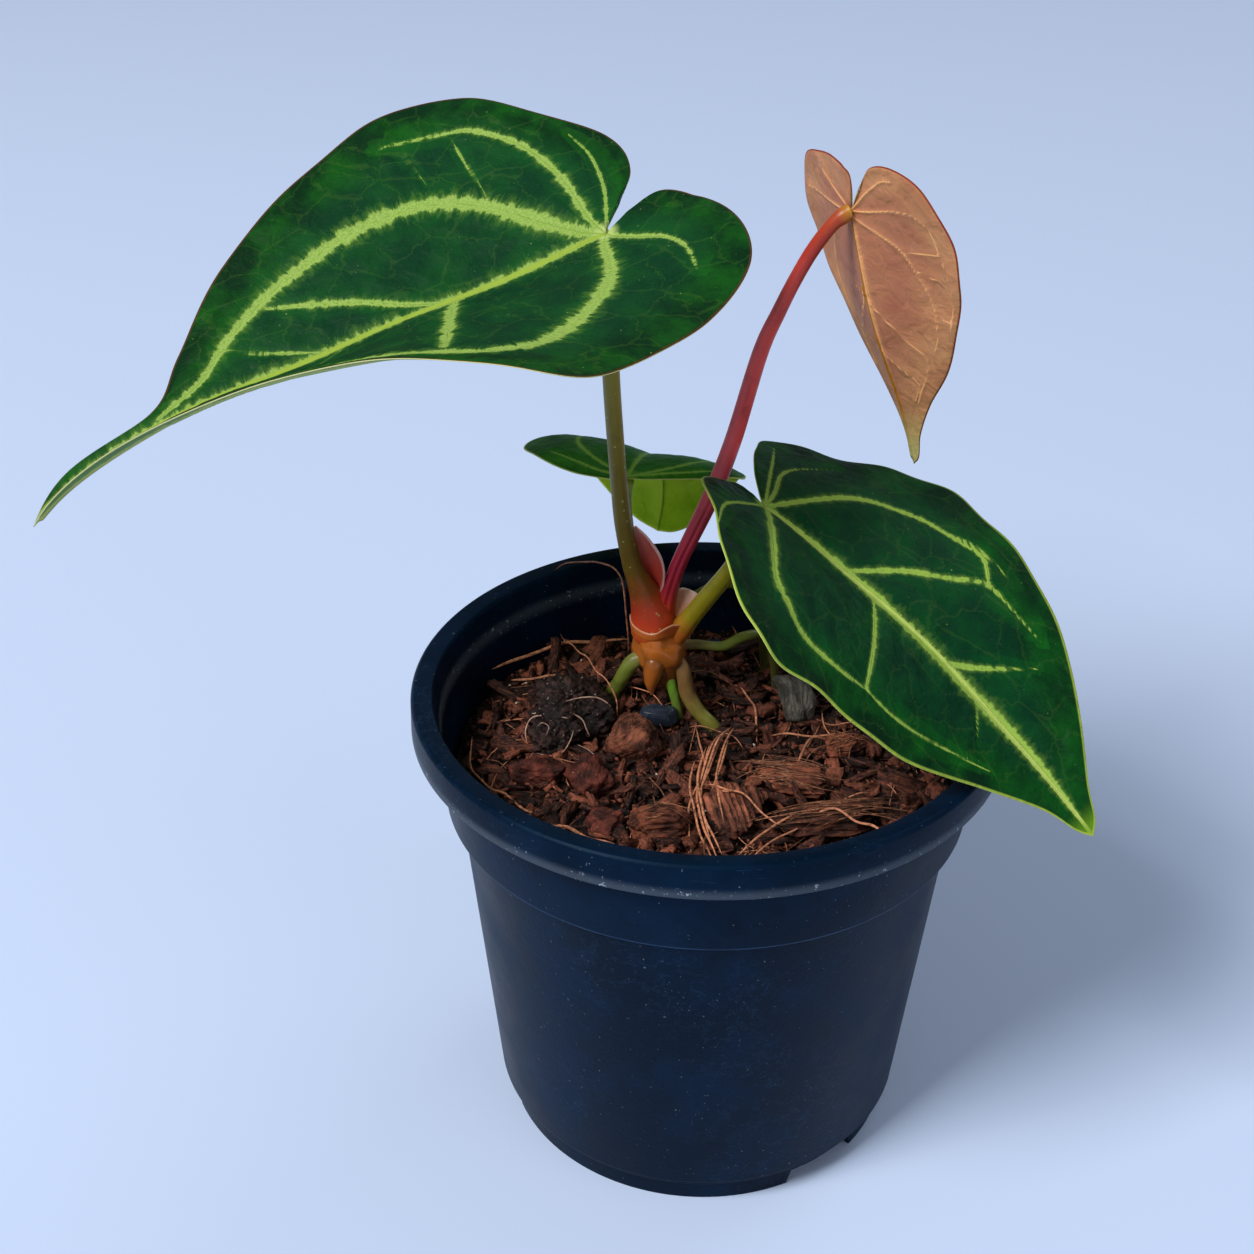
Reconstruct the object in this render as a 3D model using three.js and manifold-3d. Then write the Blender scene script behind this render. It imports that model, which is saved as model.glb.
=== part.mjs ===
// A young velvet-leaved aroid in a round nursery pot: pot, potting mix with husk chunks,
// rhizome with its roots, sheaths, four petioles and four heart-shaped blades.
// Millimetres, +Z up. The origin is the middle of the pot's base, on the ground.
import * as THREE from "three";
import { mergeVertices } from "three/addons/utils/BufferGeometryUtils.js";
import Module from "manifold-3d";

const wasm = await Module();
wasm.setup();

// Driving dimensions of the pot
const potHeight = 136;
const rimRadius = 80;
const rimMouthRadius = 74;
const rimDepth = 9.7;
const bandTopRadius = 73.5;
const bandStepRadius = 71.6;
const stepHeight = 103;
const bodyTopRadius = 68;
const bodyFootRadius = 58.7;
const footHeight = 8.8;
const footRadius = 55.8;
const wall = 1.6;
const floorUnderside = 3;
const floorTop = 6;
const bossRadius = 16;
const potFacets = 44;
const footGapAngles = [-49, 71, 191];
const footGapWidth = 25;
const footGapHeight = 4.6;
const drainRadius = 4;
const drainDistance = 42.8;
const rimPlate = 2.4;
const chamfer = 0.6;

// Driving dimensions of the potting mix and the fit between neighbours
const gap = 0.3;
const mixLevel = 112.5;
const mixRadius = 69.7;
const chipCount = 34;
const chipSeed = 11;

// Blades and stems
const bladeThickness = 0.8;
const ribHeight = 0.9;
const ribWidth = 1.6;
const bladeRows = 18;
const bladeColumns = [-1, -0.78, -0.54, -0.28, -0.06, 0, 0.06, 0.28, 0.54, 0.78, 1];
const hubCrowding = 2.5;

const degree = Math.PI / 180;
const weldDistance = 2e-3;

// The four blades. Outlines run from the hub round one lobe to the tip, as fractions of the
// length along the midrib and of the half width. Angles are in degrees: arch bends the midrib
// down, sweep turns it sideways, twist rolls it, fold lifts and curl rolls each half.
const blades = [
  {
    name: "blade_large",
    hub: [-29, 20, 254],
    heading: 197, dip: 20, roll: -17, length: 161, halfWidth: 65,
    arch: [-4.5, -3, 43], lobeArch: -7.5, sweep: [1, 1.5, 6.5], twist: [4, 1],
    left: { fold: [15.5, 24.5], curl: [-13, 76] },
    right: { fold: [8, 10], curl: [-3, 14.5] },
    outlineLeft: [[0, 0], [-0.11, -0.09], [-0.18, 0.18], [-0.17, 0.49], [-0.065, 0.76],
      [0.075, 0.98], [0.18, 1.08], [0.3, 0.88], [0.49, 0.565], [0.68, 0.265], [0.85, 0.093],
      [0.95, 0.035], [1, 0]],
    outlineRight: [[0, 0], [-0.015, 0.07], [-0.08, 0.25], [-0.073, 0.48], [0.015, 0.765],
      [0.106, 0.97], [0.214, 1.03], [0.38, 0.89], [0.565, 0.575], [0.677, 0.258], [0.75, 0.07],
      [0.91, 0.05], [1, 0]],
    wave: [0.6, 5, 0.4],
  },
  {
    name: "blade_young",
    hub: [31, 22, 261],
    heading: 11, dip: 76, roll: -19, length: 74, halfWidth: 33.5,
    arch: [-7, -7, 19], lobeArch: -12.5, sweep: [-2, -1, 2.5], twist: [-1.5, -0.5],
    left: { fold: [12, 4], curl: [-3, -1] },
    right: { fold: [13.5, 6], curl: [-5, 4] },
    outlineLeft: [[0, 0], [-0.136, -0.04], [-0.162, 0.22], [-0.147, 0.507], [-0.106, 0.797],
      [0.005, 0.975], [0.16, 1], [0.357, 0.858], [0.57, 0.586], [0.728, 0.284], [0.852, 0.098],
      [0.95, 0.049], [1, 0]],
    outlineRight: [[0, 0], [-0.078, 0.128], [-0.165, 0.268], [-0.178, 0.508], [-0.126, 0.788],
      [0.004, 0.971], [0.16, 1], [0.358, 0.858], [0.58, 0.599], [0.743, 0.3], [0.873, 0.118],
      [0.968, 0.055], [1, 0]],
    wave: [0.3, 4, 1.2],
  },
  {
    name: "blade_right",
    hub: [12.6, -2, 190.7],
    heading: -22, dip: 26, roll: -10, length: 117, halfWidth: 54.8,
    arch: [24, -5.5, -3.5], lobeArch: -7, sweep: [-5, -1, 0], twist: [23.5, 23.5],
    left: { fold: [8.5, 9], curl: [-14.5, 21.5] },
    right: { fold: [8, -4.5], curl: [-6.5, -8.5] },
    outlineLeft: [[0, 0], [-0.03, 0.08], [-0.077, 0.267], [-0.11, 0.52], [-0.1, 0.78],
      [0.076, 0.92], [0.215, 1.03], [0.386, 0.896], [0.598, 0.62], [0.783, 0.327],
      [0.906, 0.137], [0.973, 0.059], [1, 0]],
    outlineRight: [[0, 0], [-0.09, -0.03], [-0.137, 0.252], [-0.065, 0.5], [0, 0.777],
      [0.097, 0.963], [0.207, 1.023], [0.35, 0.86], [0.58, 0.62], [0.758, 0.32],
      [0.886, 0.12], [0.967, 0.048], [1, 0]],
    wave: [0.7, 6, 2.1],
  },
  {
    name: "blade_small",
    hub: [-24.3, 43, 175.3],
    heading: 78, dip: -9, roll: 3, length: 65, halfWidth: 31.5,
    arch: [80, 40, 0], lobeArch: 0, sweep: [-10, -2, 0], twist: [0, 0],
    left: { fold: [8, 0], curl: [-25, 0] },
    right: { fold: [8, 0], curl: [-22, 0] },
    outlineLeft: [[0, 0], [-0.04, 0.1], [-0.05, 0.26], [-0.04, 0.5], [0.03, 0.8],
      [0.14, 1.04], [0.25, 1.14], [0.39, 1.06], [0.56, 0.96], [0.73, 0.82], [0.88, 0.58],
      [0.97, 0.28], [1, 0]],
    outlineRight: [[0, 0], [-0.01, 0.1], [0.005, 0.26], [0.045, 0.5], [0.12, 0.76],
      [0.235, 0.93], [0.36, 0.93], [0.5, 0.83], [0.64, 0.71], [0.79, 0.55], [0.91, 0.36],
      [0.98, 0.17], [1, 0]],
    wave: [0.5, 3, 0],
  },
];

// The petioles, from their sockets in the rhizome up to the hubs: points on the axis and the
// radius at each
const petioles = [
  {
    name: "petiole_large",
    path: [[-18, 24.4, 143.5], [-19.4, 24.2, 149], [-22.1, 24, 158.8], [-24.6, 24, 171.4],
      [-25.8, 24, 183.8], [-27.1, 23, 202.2], [-27.9, 22, 217], [-28.5, 21, 236],
      [-29, 20, 254]],
    radii: [2.6, 2.7, 2.6, 2.4, 2.3, 2.3, 2.3, 2.3, 2.6],
    steps: 17,
  },
  {
    name: "petiole_young",
    path: [[-12.2, 25.2, 142], [-10.8, 25.2, 148], [-6.2, 25, 159.7], [-0.7, 25, 178.4],
      [4.3, 25, 196.4], [10.4, 25, 221.4], [14.7, 24, 233.4], [18.5, 23.4, 242.6],
      [22.4, 22.5, 250.7], [26.8, 21.6, 257.6], [31, 22, 261]],
    radii: [2.8, 2.9, 3, 2.7, 2.4, 2.1, 1.9, 1.8, 1.8, 1.8, 1.9],
    steps: 20,
  },
  {
    name: "petiole_right",
    path: [[-9.6, 23.2, 137], [-6.2, 21.6, 142.7], [-1.2, 19, 151.6], [5, 14.6, 163.4],
      [9.6, 7.4, 177], [12.6, -2, 190.7]],
    radii: [2.4, 2.6, 2.6, 2.4, 2.2, 2.4],
    steps: 10,
  },
  {
    name: "petiole_small",
    path: [[-16.2, 28.6, 141], [-18.6, 29.6, 147], [-21, 31.8, 154], [-23.2, 35.2, 161.5],
      [-24.4, 39.6, 169], [-24.3, 43, 175.3]],
    radii: [1.6, 1.6, 1.5, 1.4, 1.4, 1.6],
    steps: 9,
  },
];

// The rhizome's axis and radii, and the pointed bud that grows down from its front
const rhizomePath = [[-10.5, 23.5, 118.5], [-11.4, 23.4, 122.5], [-13.3, 23.6, 128.5],
  [-14.6, 24, 134.5], [-15.2, 24.4, 140], [-15.4, 25, 145], [-15.4, 25.4, 149]];
const rhizomeRadii = [2.4, 4.6, 7, 7.4, 6.7, 6.4, 4.6];
const budPath = [[-14.5, 20.5, 132.5], [-15.4, 17.6, 129.5], [-16, 16.6, 125.5],
  [-15.9, 16.8, 121]];
const budRadii = [3.4, 3, 2.1, 0.5];

// Roots from the rhizome into the mix, and two aerial roots that arch over to the back
const roots = [
  {
    name: "root_left",
    path: [[-15.5, 22.5, 131.5], [-21.2, 20.8, 129], [-24.8, 20.3, 123], [-27.9, 20.8, 116],
      [-29.5, 22, 104]],
    radii: [2, 2.2, 2.1, 2.1, 1.6],
  },
  {
    name: "root_centre",
    path: [[-11.2, 22, 126.5], [-10.6, 18.8, 123.5], [-9, 17.2, 118], [-6.8, 16.2, 106]],
    radii: [1.3, 1.4, 1.4, 1.2],
  },
  {
    name: "root_right",
    path: [[-10.5, 22, 131], [-7.4, 19.6, 127.5], [-5.9, 17.6, 121], [-2.4, 15.6, 116],
      [2, 13.4, 112], [5, 11.8, 104]],
    radii: [2, 2.2, 2.1, 2.2, 2.2, 1.7],
  },
  {
    name: "root_aerial_low",
    path: [[-9.5, 25.5, 132], [-3, 26.4, 131.8], [3.5, 27.2, 131], [9.5, 29.5, 133],
      [14.5, 33, 131.5], [18, 36, 124], [20, 37.5, 106]],
    radii: [1.4, 1.4, 1.4, 1.4, 1.4, 1.3, 1.2],
  },
  {
    name: "root_aerial_high",
    path: [[-11.5, 28.2, 138], [-5, 31.7, 144], [2.5, 34.5, 147], [9, 37, 144.5],
      [14, 39.5, 134], [16, 41.5, 118], [16.5, 42, 106]],
    radii: [1.5, 1.4, 1.4, 1.4, 1.4, 1.3, 1.2],
  },
];

// Sheaths round the stem base: a spine from base to tip, the half width at each point, the
// direction that the open side faces and how far the sheath wraps round
const sheaths = [
  {
    name: "sheath_pink", colour: 0xc4525a, roughness: 0.45,
    spine: [[-15.2, 24.6, 147], [-15.4, 25.2, 153], [-16.8, 25.6, 160], [-19.2, 25.4, 165.5],
      [-21.4, 25.2, 169.5]],
    halfWidths: [3.4, 4.6, 4.2, 2.4, 0.35], facing: -100, wrap: 85,
  },
  {
    name: "sheath_papery", colour: 0xcaa58e, roughness: 0.5,
    spine: [[-8.2, 21.4, 135.5], [-6.6, 23.4, 140], [-5.4, 25.2, 144.5], [-5, 26.4, 149.5]],
    halfWidths: [3.2, 5.4, 5.2, 2.2], facing: -128, wrap: 95,
  },
];
const sheathThickness = 0.8;

// Loose pieces that lie on the mix: place of the middle, full size, turn about the vertical,
// tilt, and how rough the surface is as a share of the size
const chunks = [
  { name: "root_ball", at: [-37.5, 10.5, 117.5], size: [24, 21, 17], turn: 20, tilt: 8,
    rough: 0.16, detail: 2, colour: 0x2e1a14 },
  { name: "husk_chunk_round", at: [-20.5, -0.5, 117.2], size: [16, 15, 13], turn: -15, tilt: 12,
    rough: 0.12, detail: 1, colour: 0x7a4630 },
  { name: "husk_chunk_split", at: [-31, -18.5, 116], size: [12, 14, 10], turn: 30, tilt: 18,
    rough: 0.12, detail: 1, colour: 0x713b28 },
  { name: "husk_chunk_left", at: [-45.5, -15, 115.5], size: [16, 9.5, 7], turn: 10, tilt: -8,
    rough: 0.12, detail: 1, colour: 0x6a3a28 },
  { name: "husk_chunk_low", at: [-26, -35, 114.6], size: [10, 9, 6], turn: -30, tilt: 6,
    rough: 0.12, detail: 1, colour: 0x5d3222 },
  { name: "husk_chunk_fibrous", at: [-11, -36, 115.4], size: [16, 13, 9], turn: 12, tilt: -14,
    rough: 0.14, detail: 1, colour: 0x6f3d2a },
  { name: "husk_chip_square", at: [7.5, -29, 116], size: [18, 19, 6], turn: -14, tilt: 16,
    rough: 0.08, detail: 1, colour: 0x9a5a3e },
  { name: "husk_chip_wedge", at: [24, -14.5, 116], size: [23, 12, 6.5], turn: -6, tilt: 9,
    rough: 0.1, detail: 1, colour: 0x8a4f37 },
  { name: "husk_chip_long", at: [33.5, -31.5, 115.6], size: [33, 11, 7], turn: 13, tilt: -7,
    rough: 0.1, detail: 1, colour: 0x4b2a20 },
  { name: "husk_chip_light", at: [38, 6, 113.4], size: [13, 8, 4.5], turn: 24, tilt: 10,
    rough: 0.1, detail: 1, colour: 0xa66b4c },
  { name: "striped_chip", at: [25.5, 24.5, 116], size: [12, 19, 7], turn: 12, tilt: 10,
    rough: 0.05, detail: 1, colour: 0x6b5f5c },
  { name: "pebble_dark", at: [-13, 13.2, 115.6], size: [9.5, 6.5, 5.5], turn: -8, tilt: 0,
    rough: 0.04, detail: 1, colour: 0x23242a },
  { name: "pebble_pale", at: [1.5, 53, 115.2], size: [4.6, 4, 3.4], turn: 0, tilt: 0,
    rough: 0.04, detail: 1, colour: 0xb9b5b2 },
];

// Long coir fibres that lie across the mix, as points on the surface and a lift above it
const fibreRadius = 0.55;
const fibres = [
  [[-61, 33], [-52, 38], [-40, 43], [-27, 51]],
  [[-62, -12], [-58, -24], [-44, -38], [-24, -49]],
  [[2, 20], [1, 2], [0, -14], [1, -42]],
  [[5, 12], [5.5, -8], [2, -24], [-3, -46]],
  [[-46, 48], [-38, 40], [-31, 34], [-27, 29]],
  [[24, 44], [33, 38], [42, 28], [50, 22]],
];

function randomFrom(seed) {
  let state = seed >>> 0;
  return () => {
    state = (Math.imul(state, 1664525) + 1013904223) >>> 0;
    return state / 4294967296;
  };
}

function material(colour, roughness) {
  return new THREE.MeshStandardMaterial({ color: colour, roughness, metalness: 0 });
}

function vectors(points) {
  return points.map((point) => new THREE.Vector3(...point));
}

// Closed meshes to solids and back
function bare(geometry) {
  const copy = geometry.clone();
  copy.deleteAttribute("normal");
  copy.deleteAttribute("uv");
  return mergeVertices(copy, weldDistance);
}

function solidOf(geometry) {
  const merged = bare(geometry);
  return new wasm.Manifold(new wasm.Mesh({
    numProp: 3,
    vertProperties: Float32Array.from(merged.attributes.position.array),
    triVerts: Uint32Array.from(merged.index.array),
  }));
}

function largestBody(solid) {
  const bodies = solid.decompose();
  bodies.sort((one, other) => other.volume() - one.volume());
  return bodies[0];
}

function geometryOf(solid) {
  const { vertProperties, triVerts } = solid.getMesh();
  const geometry = new THREE.BufferGeometry();
  geometry.setAttribute("position", new THREE.BufferAttribute(vertProperties, 3));
  geometry.setIndex(new THREE.BufferAttribute(triVerts, 1));
  return geometry;
}

// The same closed mesh with every vertex moved out along its normal
function grown(geometry, distance) {
  const merged = bare(geometry);
  merged.computeVertexNormals();
  const { position, normal } = merged.attributes;
  for (let i = 0; i < position.count; i += 1) {
    position.setXYZ(
      i,
      position.getX(i) + distance * normal.getX(i),
      position.getY(i) + distance * normal.getY(i),
      position.getZ(i) + distance * normal.getZ(i),
    );
  }
  return merged;
}

function placed(mesh) {
  mesh.updateMatrixWorld();
  return mesh.geometry.clone().applyMatrix4(mesh.matrixWorld);
}

// The stem without what lies above a plane just under the blade, so that the blade rests on it
function trimmedUnder(stem, blade) {
  const up = new THREE.Vector3(0, 0, 1).applyQuaternion(bladePose(blade));
  const depth = bladeThickness / 2 + ribHeight + gap;
  const height = up.dot(new THREE.Vector3(...blade.hub)) - depth;
  return geometryOf(solidOf(stem).trimByPlane(up.negate().toArray(), -height));
}

// Cuts a pocket for each neighbour, a little wider than the neighbour
function carved(geometry, neighbours, clearance = 1.5 * gap) {
  let solid = solidOf(geometry);
  for (const neighbour of neighbours) {
    solid = solid.subtract(solidOf(grown(neighbour, clearance)));
  }
  return geometryOf(largestBody(solidOf(geometryOf(solid))));
}

// A closed tube along a smooth curve, whose radius follows the values at the curve's points
function taperedTube(path, radii, steps, sides) {
  const curve = new THREE.CatmullRomCurve3(vectors(path), false, "catmullrom", 0.5);
  const radiusCurve = new THREE.SplineCurve(radii.map((radius, i) => new THREE.Vector2(i, radius)));
  const centres = [];
  for (let i = 0; i <= steps; i += 1) {
    centres.push(curve.getPoint(i / steps));
  }
  const positions = [];
  let side = new THREE.Vector3(0, 1, 0);
  for (let i = 0; i <= steps; i += 1) {
    const along = curve.getTangent(i / steps);
    side = side.addScaledVector(along, -side.dot(along)).normalize();
    const other = new THREE.Vector3().crossVectors(along, side);
    const radius = radiusCurve.getPoint(i / steps).y;
    for (let j = 0; j < sides; j += 1) {
      const angle = (2 * Math.PI * j) / sides;
      const point = centres[i].clone();
      point.addScaledVector(side, radius * Math.cos(angle));
      point.addScaledVector(other, radius * Math.sin(angle));
      positions.push(point.x, point.y, point.z);
    }
  }
  const first = positions.length / 3;
  positions.push(...centres[0].toArray(), ...centres[steps].toArray());
  const index = [];
  for (let i = 0; i < steps; i += 1) {
    for (let j = 0; j < sides; j += 1) {
      const a = i * sides + j;
      const b = i * sides + ((j + 1) % sides);
      index.push(a, b, a + sides, b, b + sides, a + sides);
    }
  }
  for (let j = 0; j < sides; j += 1) {
    const next = (j + 1) % sides;
    index.push(first, next, j);
    index.push(first + 1, steps * sides + j, steps * sides + next);
  }
  const geometry = new THREE.BufferGeometry();
  geometry.setAttribute("position", new THREE.Float32BufferAttribute(positions, 3));
  geometry.setIndex(index);
  return geometry;
}

// A thin closed sheet from a grid of points on its middle surface. The first and last rows may
// shrink to a point. Both faces are split along the same diagonals.
function sheet(rows, columns, middle, thickness, extraBelow) {
  const points = [];
  const ids = [];
  for (let i = 0; i <= rows; i += 1) {
    ids.push([]);
    for (let j = 0; j < columns; j += 1) {
      const point = middle(i, j);
      const last = points[points.length - 1];
      const same = ids[i].length > 0 && last.distanceTo(point) < 1e-6;
      if (!same) {
        points.push(point);
      }
      ids[i].push(points.length - 1);
    }
  }
  const faces = [];
  const addFace = (a, b, c) => {
    if (a !== b && b !== c && a !== c) {
      faces.push([a, b, c]);
    }
  };
  for (let i = 0; i < rows; i += 1) {
    for (let j = 0; j + 1 < columns; j += 1) {
      const [a, b] = [ids[i][j], ids[i][j + 1]];
      const [c, d] = [ids[i + 1][j], ids[i + 1][j + 1]];
      addFace(a, c, b);
      addFace(b, c, d);
    }
  }
  const normals = points.map(() => new THREE.Vector3());
  for (const [a, b, c] of faces) {
    const edge = points[b].clone().sub(points[a]);
    const area = edge.cross(points[c].clone().sub(points[a]));
    for (const id of [a, b, c]) {
      normals[id].add(area);
    }
  }
  const positions = [];
  for (const side of [1, -1]) {
    points.forEach((point, id) => {
      const below = side < 0 ? extraBelow(id) : 0;
      const offset = side * (thickness / 2 + below);
      const moved = point.clone().addScaledVector(normals[id].clone().normalize(), offset);
      positions.push(moved.x, moved.y, moved.z);
    });
  }
  const count = points.length;
  const index = [];
  for (const [a, b, c] of faces) {
    index.push(a, b, c);
    index.push(a + count, c + count, b + count);
  }
  const border = [];
  for (let i = 0; i < rows; i += 1) {
    border.push([ids[i][0], ids[i + 1][0]]);
  }
  for (let j = 0; j + 1 < columns; j += 1) {
    border.push([ids[rows][j], ids[rows][j + 1]]);
  }
  for (let i = rows; i > 0; i -= 1) {
    border.push([ids[i][columns - 1], ids[i - 1][columns - 1]]);
  }
  for (let j = columns - 1; j > 0; j -= 1) {
    border.push([ids[0][j], ids[0][j - 1]]);
  }
  for (const [a, b] of border) {
    if (a !== b) {
      index.push(b, a, a + count);
      index.push(b, a + count, b + count);
    }
  }
  const geometry = new THREE.BufferGeometry();
  geometry.setAttribute("position", new THREE.Float32BufferAttribute(positions, 3));
  geometry.setIndex(index);
  return geometry;
}

// Where a point of the flat blade goes when the blade is bent: along the arched midrib, then
// out along one half, which leaves it at the fold angle and curls on an arc
function bladeBend(blade) {
  const { length, halfWidth } = blade;
  const samples = 240;
  const start = -0.45 * length;
  const step = (length - start) / samples;
  const angles = (along) => {
    const x = along / length;
    const ahead = Math.max(x, 0);
    const [p1, p2, p6] = blade.arch;
    const [s1, s2, s6] = blade.sweep;
    const pitch = p1 * ahead + p2 * ahead ** 2 + p6 * ahead ** 6 + blade.lobeArch * Math.min(x, 0);
    const yaw = s1 * ahead + s2 * ahead ** 2 + s6 * ahead ** 6;
    return [pitch * degree, yaw * degree];
  };
  const direction = (along) => {
    const [pitch, yaw] = angles(along);
    return new THREE.Vector3(
      Math.cos(pitch) * Math.cos(yaw),
      Math.cos(pitch) * Math.sin(yaw),
      -Math.sin(pitch),
    );
  };
  const rib = [new THREE.Vector3()];
  for (let i = 1; i <= samples; i += 1) {
    const mean = direction(start + (i - 1) * step).add(direction(start + i * step));
    rib.push(rib[i - 1].clone().addScaledVector(mean, step / 2));
  }
  const ribAt = (along) => {
    const place = Math.min(Math.max((along - start) / step, 0), samples - 1e-9);
    const i = Math.floor(place);
    return rib[i].clone().lerp(rib[i + 1], place - i);
  };
  const origin = ribAt(0);
  return (along, across) => {
    const x = along / length;
    const [, yaw] = angles(along);
    const forward = direction(along);
    const left = new THREE.Vector3(-Math.sin(yaw), Math.cos(yaw), 0);
    const up = new THREE.Vector3().crossVectors(forward, left);
    const twist = (blade.twist[0] * x + blade.twist[1] * Math.sign(x) * x * x) * degree;
    const side = left.clone().multiplyScalar(Math.cos(twist)).addScaledVector(up, Math.sin(twist));
    const top = up.clone().multiplyScalar(Math.cos(twist)).addScaledVector(left, -Math.sin(twist));
    const half = across >= 0 ? blade.left : blade.right;
    const xc = Math.min(Math.max(x, -0.4), 1);
    const fold = (half.fold[0] + half.fold[1] * xc) * degree;
    const rawCurl = (half.curl[0] + half.curl[1] * xc) * degree;
    const curl = Math.abs(rawCurl) < 1e-4 ? 1e-4 : rawCurl;
    const turned = (fold + (curl * Math.abs(across)) / halfWidth);
    const reach = (halfWidth / curl) * (Math.sin(turned) - Math.sin(fold));
    const lift = (halfWidth / curl) * (Math.cos(fold) - Math.cos(turned));
    const [amplitude, cycles, phase] = blade.wave;
    const ripple = Math.min(Math.abs(across) / halfWidth, 1) ** 3;
    const wave = amplitude * ripple * Math.sin(2 * Math.PI * cycles * x + phase + Math.sign(across));
    return ribAt(along).sub(origin)
      .addScaledVector(side, Math.sign(across) * reach)
      .addScaledVector(top, lift + wave);
  };
}

function bladeGeometry(blade) {
  const bend = bladeBend(blade);
  const edge = (outline) => new THREE.SplineCurve(outline.map((p) => new THREE.Vector2(...p)));
  const leftEdge = edge(blade.outlineLeft);
  const rightEdge = edge(blade.outlineRight);
  const across = [];
  const middle = (i, j) => {
    const t = i / bladeRows;
    const v = bladeColumns[j];
    const rim = (v >= 0 ? leftEdge : rightEdge).getPoint(t);
    const share = Math.abs(v);
    const a = blade.length * (t ** hubCrowding * (1 - share) + rim.x * share);
    const b = Math.sign(v) * share * rim.y * blade.halfWidth;
    const end = i === 0 || i === bladeRows;
    if (!end || j === 0) {
      across.push(b);
    }
    return end ? bend(i === 0 ? 0 : blade.length, 0) : bend(a, b);
  };
  const ridge = (id) => ribHeight * Math.exp(-((across[id] / ribWidth) ** 2));
  return sheet(bladeRows, bladeColumns.length, middle, bladeThickness, ridge);
}

// Turns the blade's own axes to its heading, dip and roll
function bladePose(blade) {
  const heading = new THREE.Quaternion().setFromAxisAngle(
    new THREE.Vector3(0, 0, 1),
    blade.heading * degree,
  );
  const dip = new THREE.Quaternion().setFromAxisAngle(
    new THREE.Vector3(0, 1, 0),
    blade.dip * degree,
  );
  const roll = new THREE.Quaternion().setFromAxisAngle(
    new THREE.Vector3(1, 0, 0),
    blade.roll * degree,
  );
  return heading.multiply(dip).multiply(roll);
}

function sheathGeometry(sheath) {
  const rows = 7;
  const columns = 7;
  const spine = new THREE.CatmullRomCurve3(vectors(sheath.spine), false, "catmullrom", 0.5);
  const widths = new THREE.SplineCurve(sheath.halfWidths.map((w, i) => new THREE.Vector2(i, w)));
  const facing = new THREE.Vector3(
    Math.cos(sheath.facing * degree),
    Math.sin(sheath.facing * degree),
    0,
  );
  const middle = (i, j) => {
    const t = i / rows;
    const along = spine.getTangent(t);
    const inward = facing.clone().addScaledVector(along, -facing.dot(along)).normalize();
    const sideways = new THREE.Vector3().crossVectors(along, inward);
    const halfWidth = widths.getPoint(t).y;
    const angle = ((2 * j) / (columns - 1) - 1) * sheath.wrap * degree;
    const radius = halfWidth / Math.sin(Math.min(sheath.wrap, 90) * degree);
    return spine.getPoint(t)
      .addScaledVector(sideways, radius * Math.sin(angle))
      .addScaledVector(inward, radius * (1 - Math.cos(angle)));
  };
  return sheet(rows, columns, middle, sheathThickness, () => 0);
}

// The pot: a turned shell with a turned-down rim, a step below the rim, a central boss and a
// foot ring that three gaps cut into feet
function potGeometry() {
  const skirtInner = rimRadius - wall;
  const innerStep = bodyTopRadius - wall;
  const profile = [
    [0, 0], [bossRadius, 0], [bossRadius + 1, floorUnderside],
    [footRadius - wall - 1, floorUnderside], [footRadius - wall, 0], [footRadius, 0],
    [footRadius + 0.3, footHeight - chamfer], [bodyFootRadius, footHeight],
    [bodyTopRadius, stepHeight - chamfer], [bandStepRadius, stepHeight + chamfer],
    [bandTopRadius, potHeight - rimDepth - 2], [bandTopRadius + 0.3, potHeight - rimPlate],
    [skirtInner - 0.8, potHeight - rimPlate], [skirtInner, potHeight - rimDepth],
    [rimRadius + 0.2, potHeight - rimDepth], [rimRadius, potHeight - 1],
    [rimRadius - 0.9, potHeight], [rimMouthRadius + 0.4, potHeight - 0.5],
    [rimMouthRadius - 0.2, potHeight - 1.5], [bandTopRadius - wall, potHeight - rimDepth - 2],
    [bandStepRadius - wall, stepHeight + 2.6], [innerStep, stepHeight + 1.4],
    [bodyFootRadius - wall - 0.4, floorTop], [0, floorTop],
  ];
  const shell = new THREE.LatheGeometry(
    profile.map((point) => new THREE.Vector2(...point)),
    potFacets,
  ).rotateX(Math.PI / 2);
  let solid = solidOf(shell);
  if (solid.volume() < 0) {
    throw new Error("the pot's shell is inside out");
  }
  for (const angle of footGapAngles) {
    const width = 2 * footRadius * Math.sin((footGapWidth / 2) * degree);
    const notch = new THREE.BoxGeometry(12, width, 2 * footGapHeight);
    notch.translate(footRadius, 0, 0);
    notch.rotateZ(angle * degree);
    const drain = new THREE.CylinderGeometry(drainRadius, drainRadius, 4 * floorTop, 12);
    drain.rotateX(Math.PI / 2);
    drain.translate(drainDistance, 0, 0);
    drain.rotateZ(angle * degree);
    solid = solid.subtract(solidOf(notch)).subtract(solidOf(drain));
  }
  return geometryOf(solid);
}

// Height of the mix: a low mound towards the back left and small lumps
function mixHeight(x, y) {
  const mound = 4.5 * Math.exp(-(((x + 34) / 30) ** 2) - ((y - 26) / 30) ** 2);
  const dip = -1.5 * Math.exp(-(((x - 40) / 26) ** 2) - ((y + 4) / 30) ** 2);
  const lumps = 0.9 * Math.sin(0.21 * x + 1.3) * Math.cos(0.19 * y - 0.4)
    + 0.5 * Math.sin(0.47 * x - 0.31 * y);
  return mixLevel + mound + dip + lumps;
}

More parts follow.
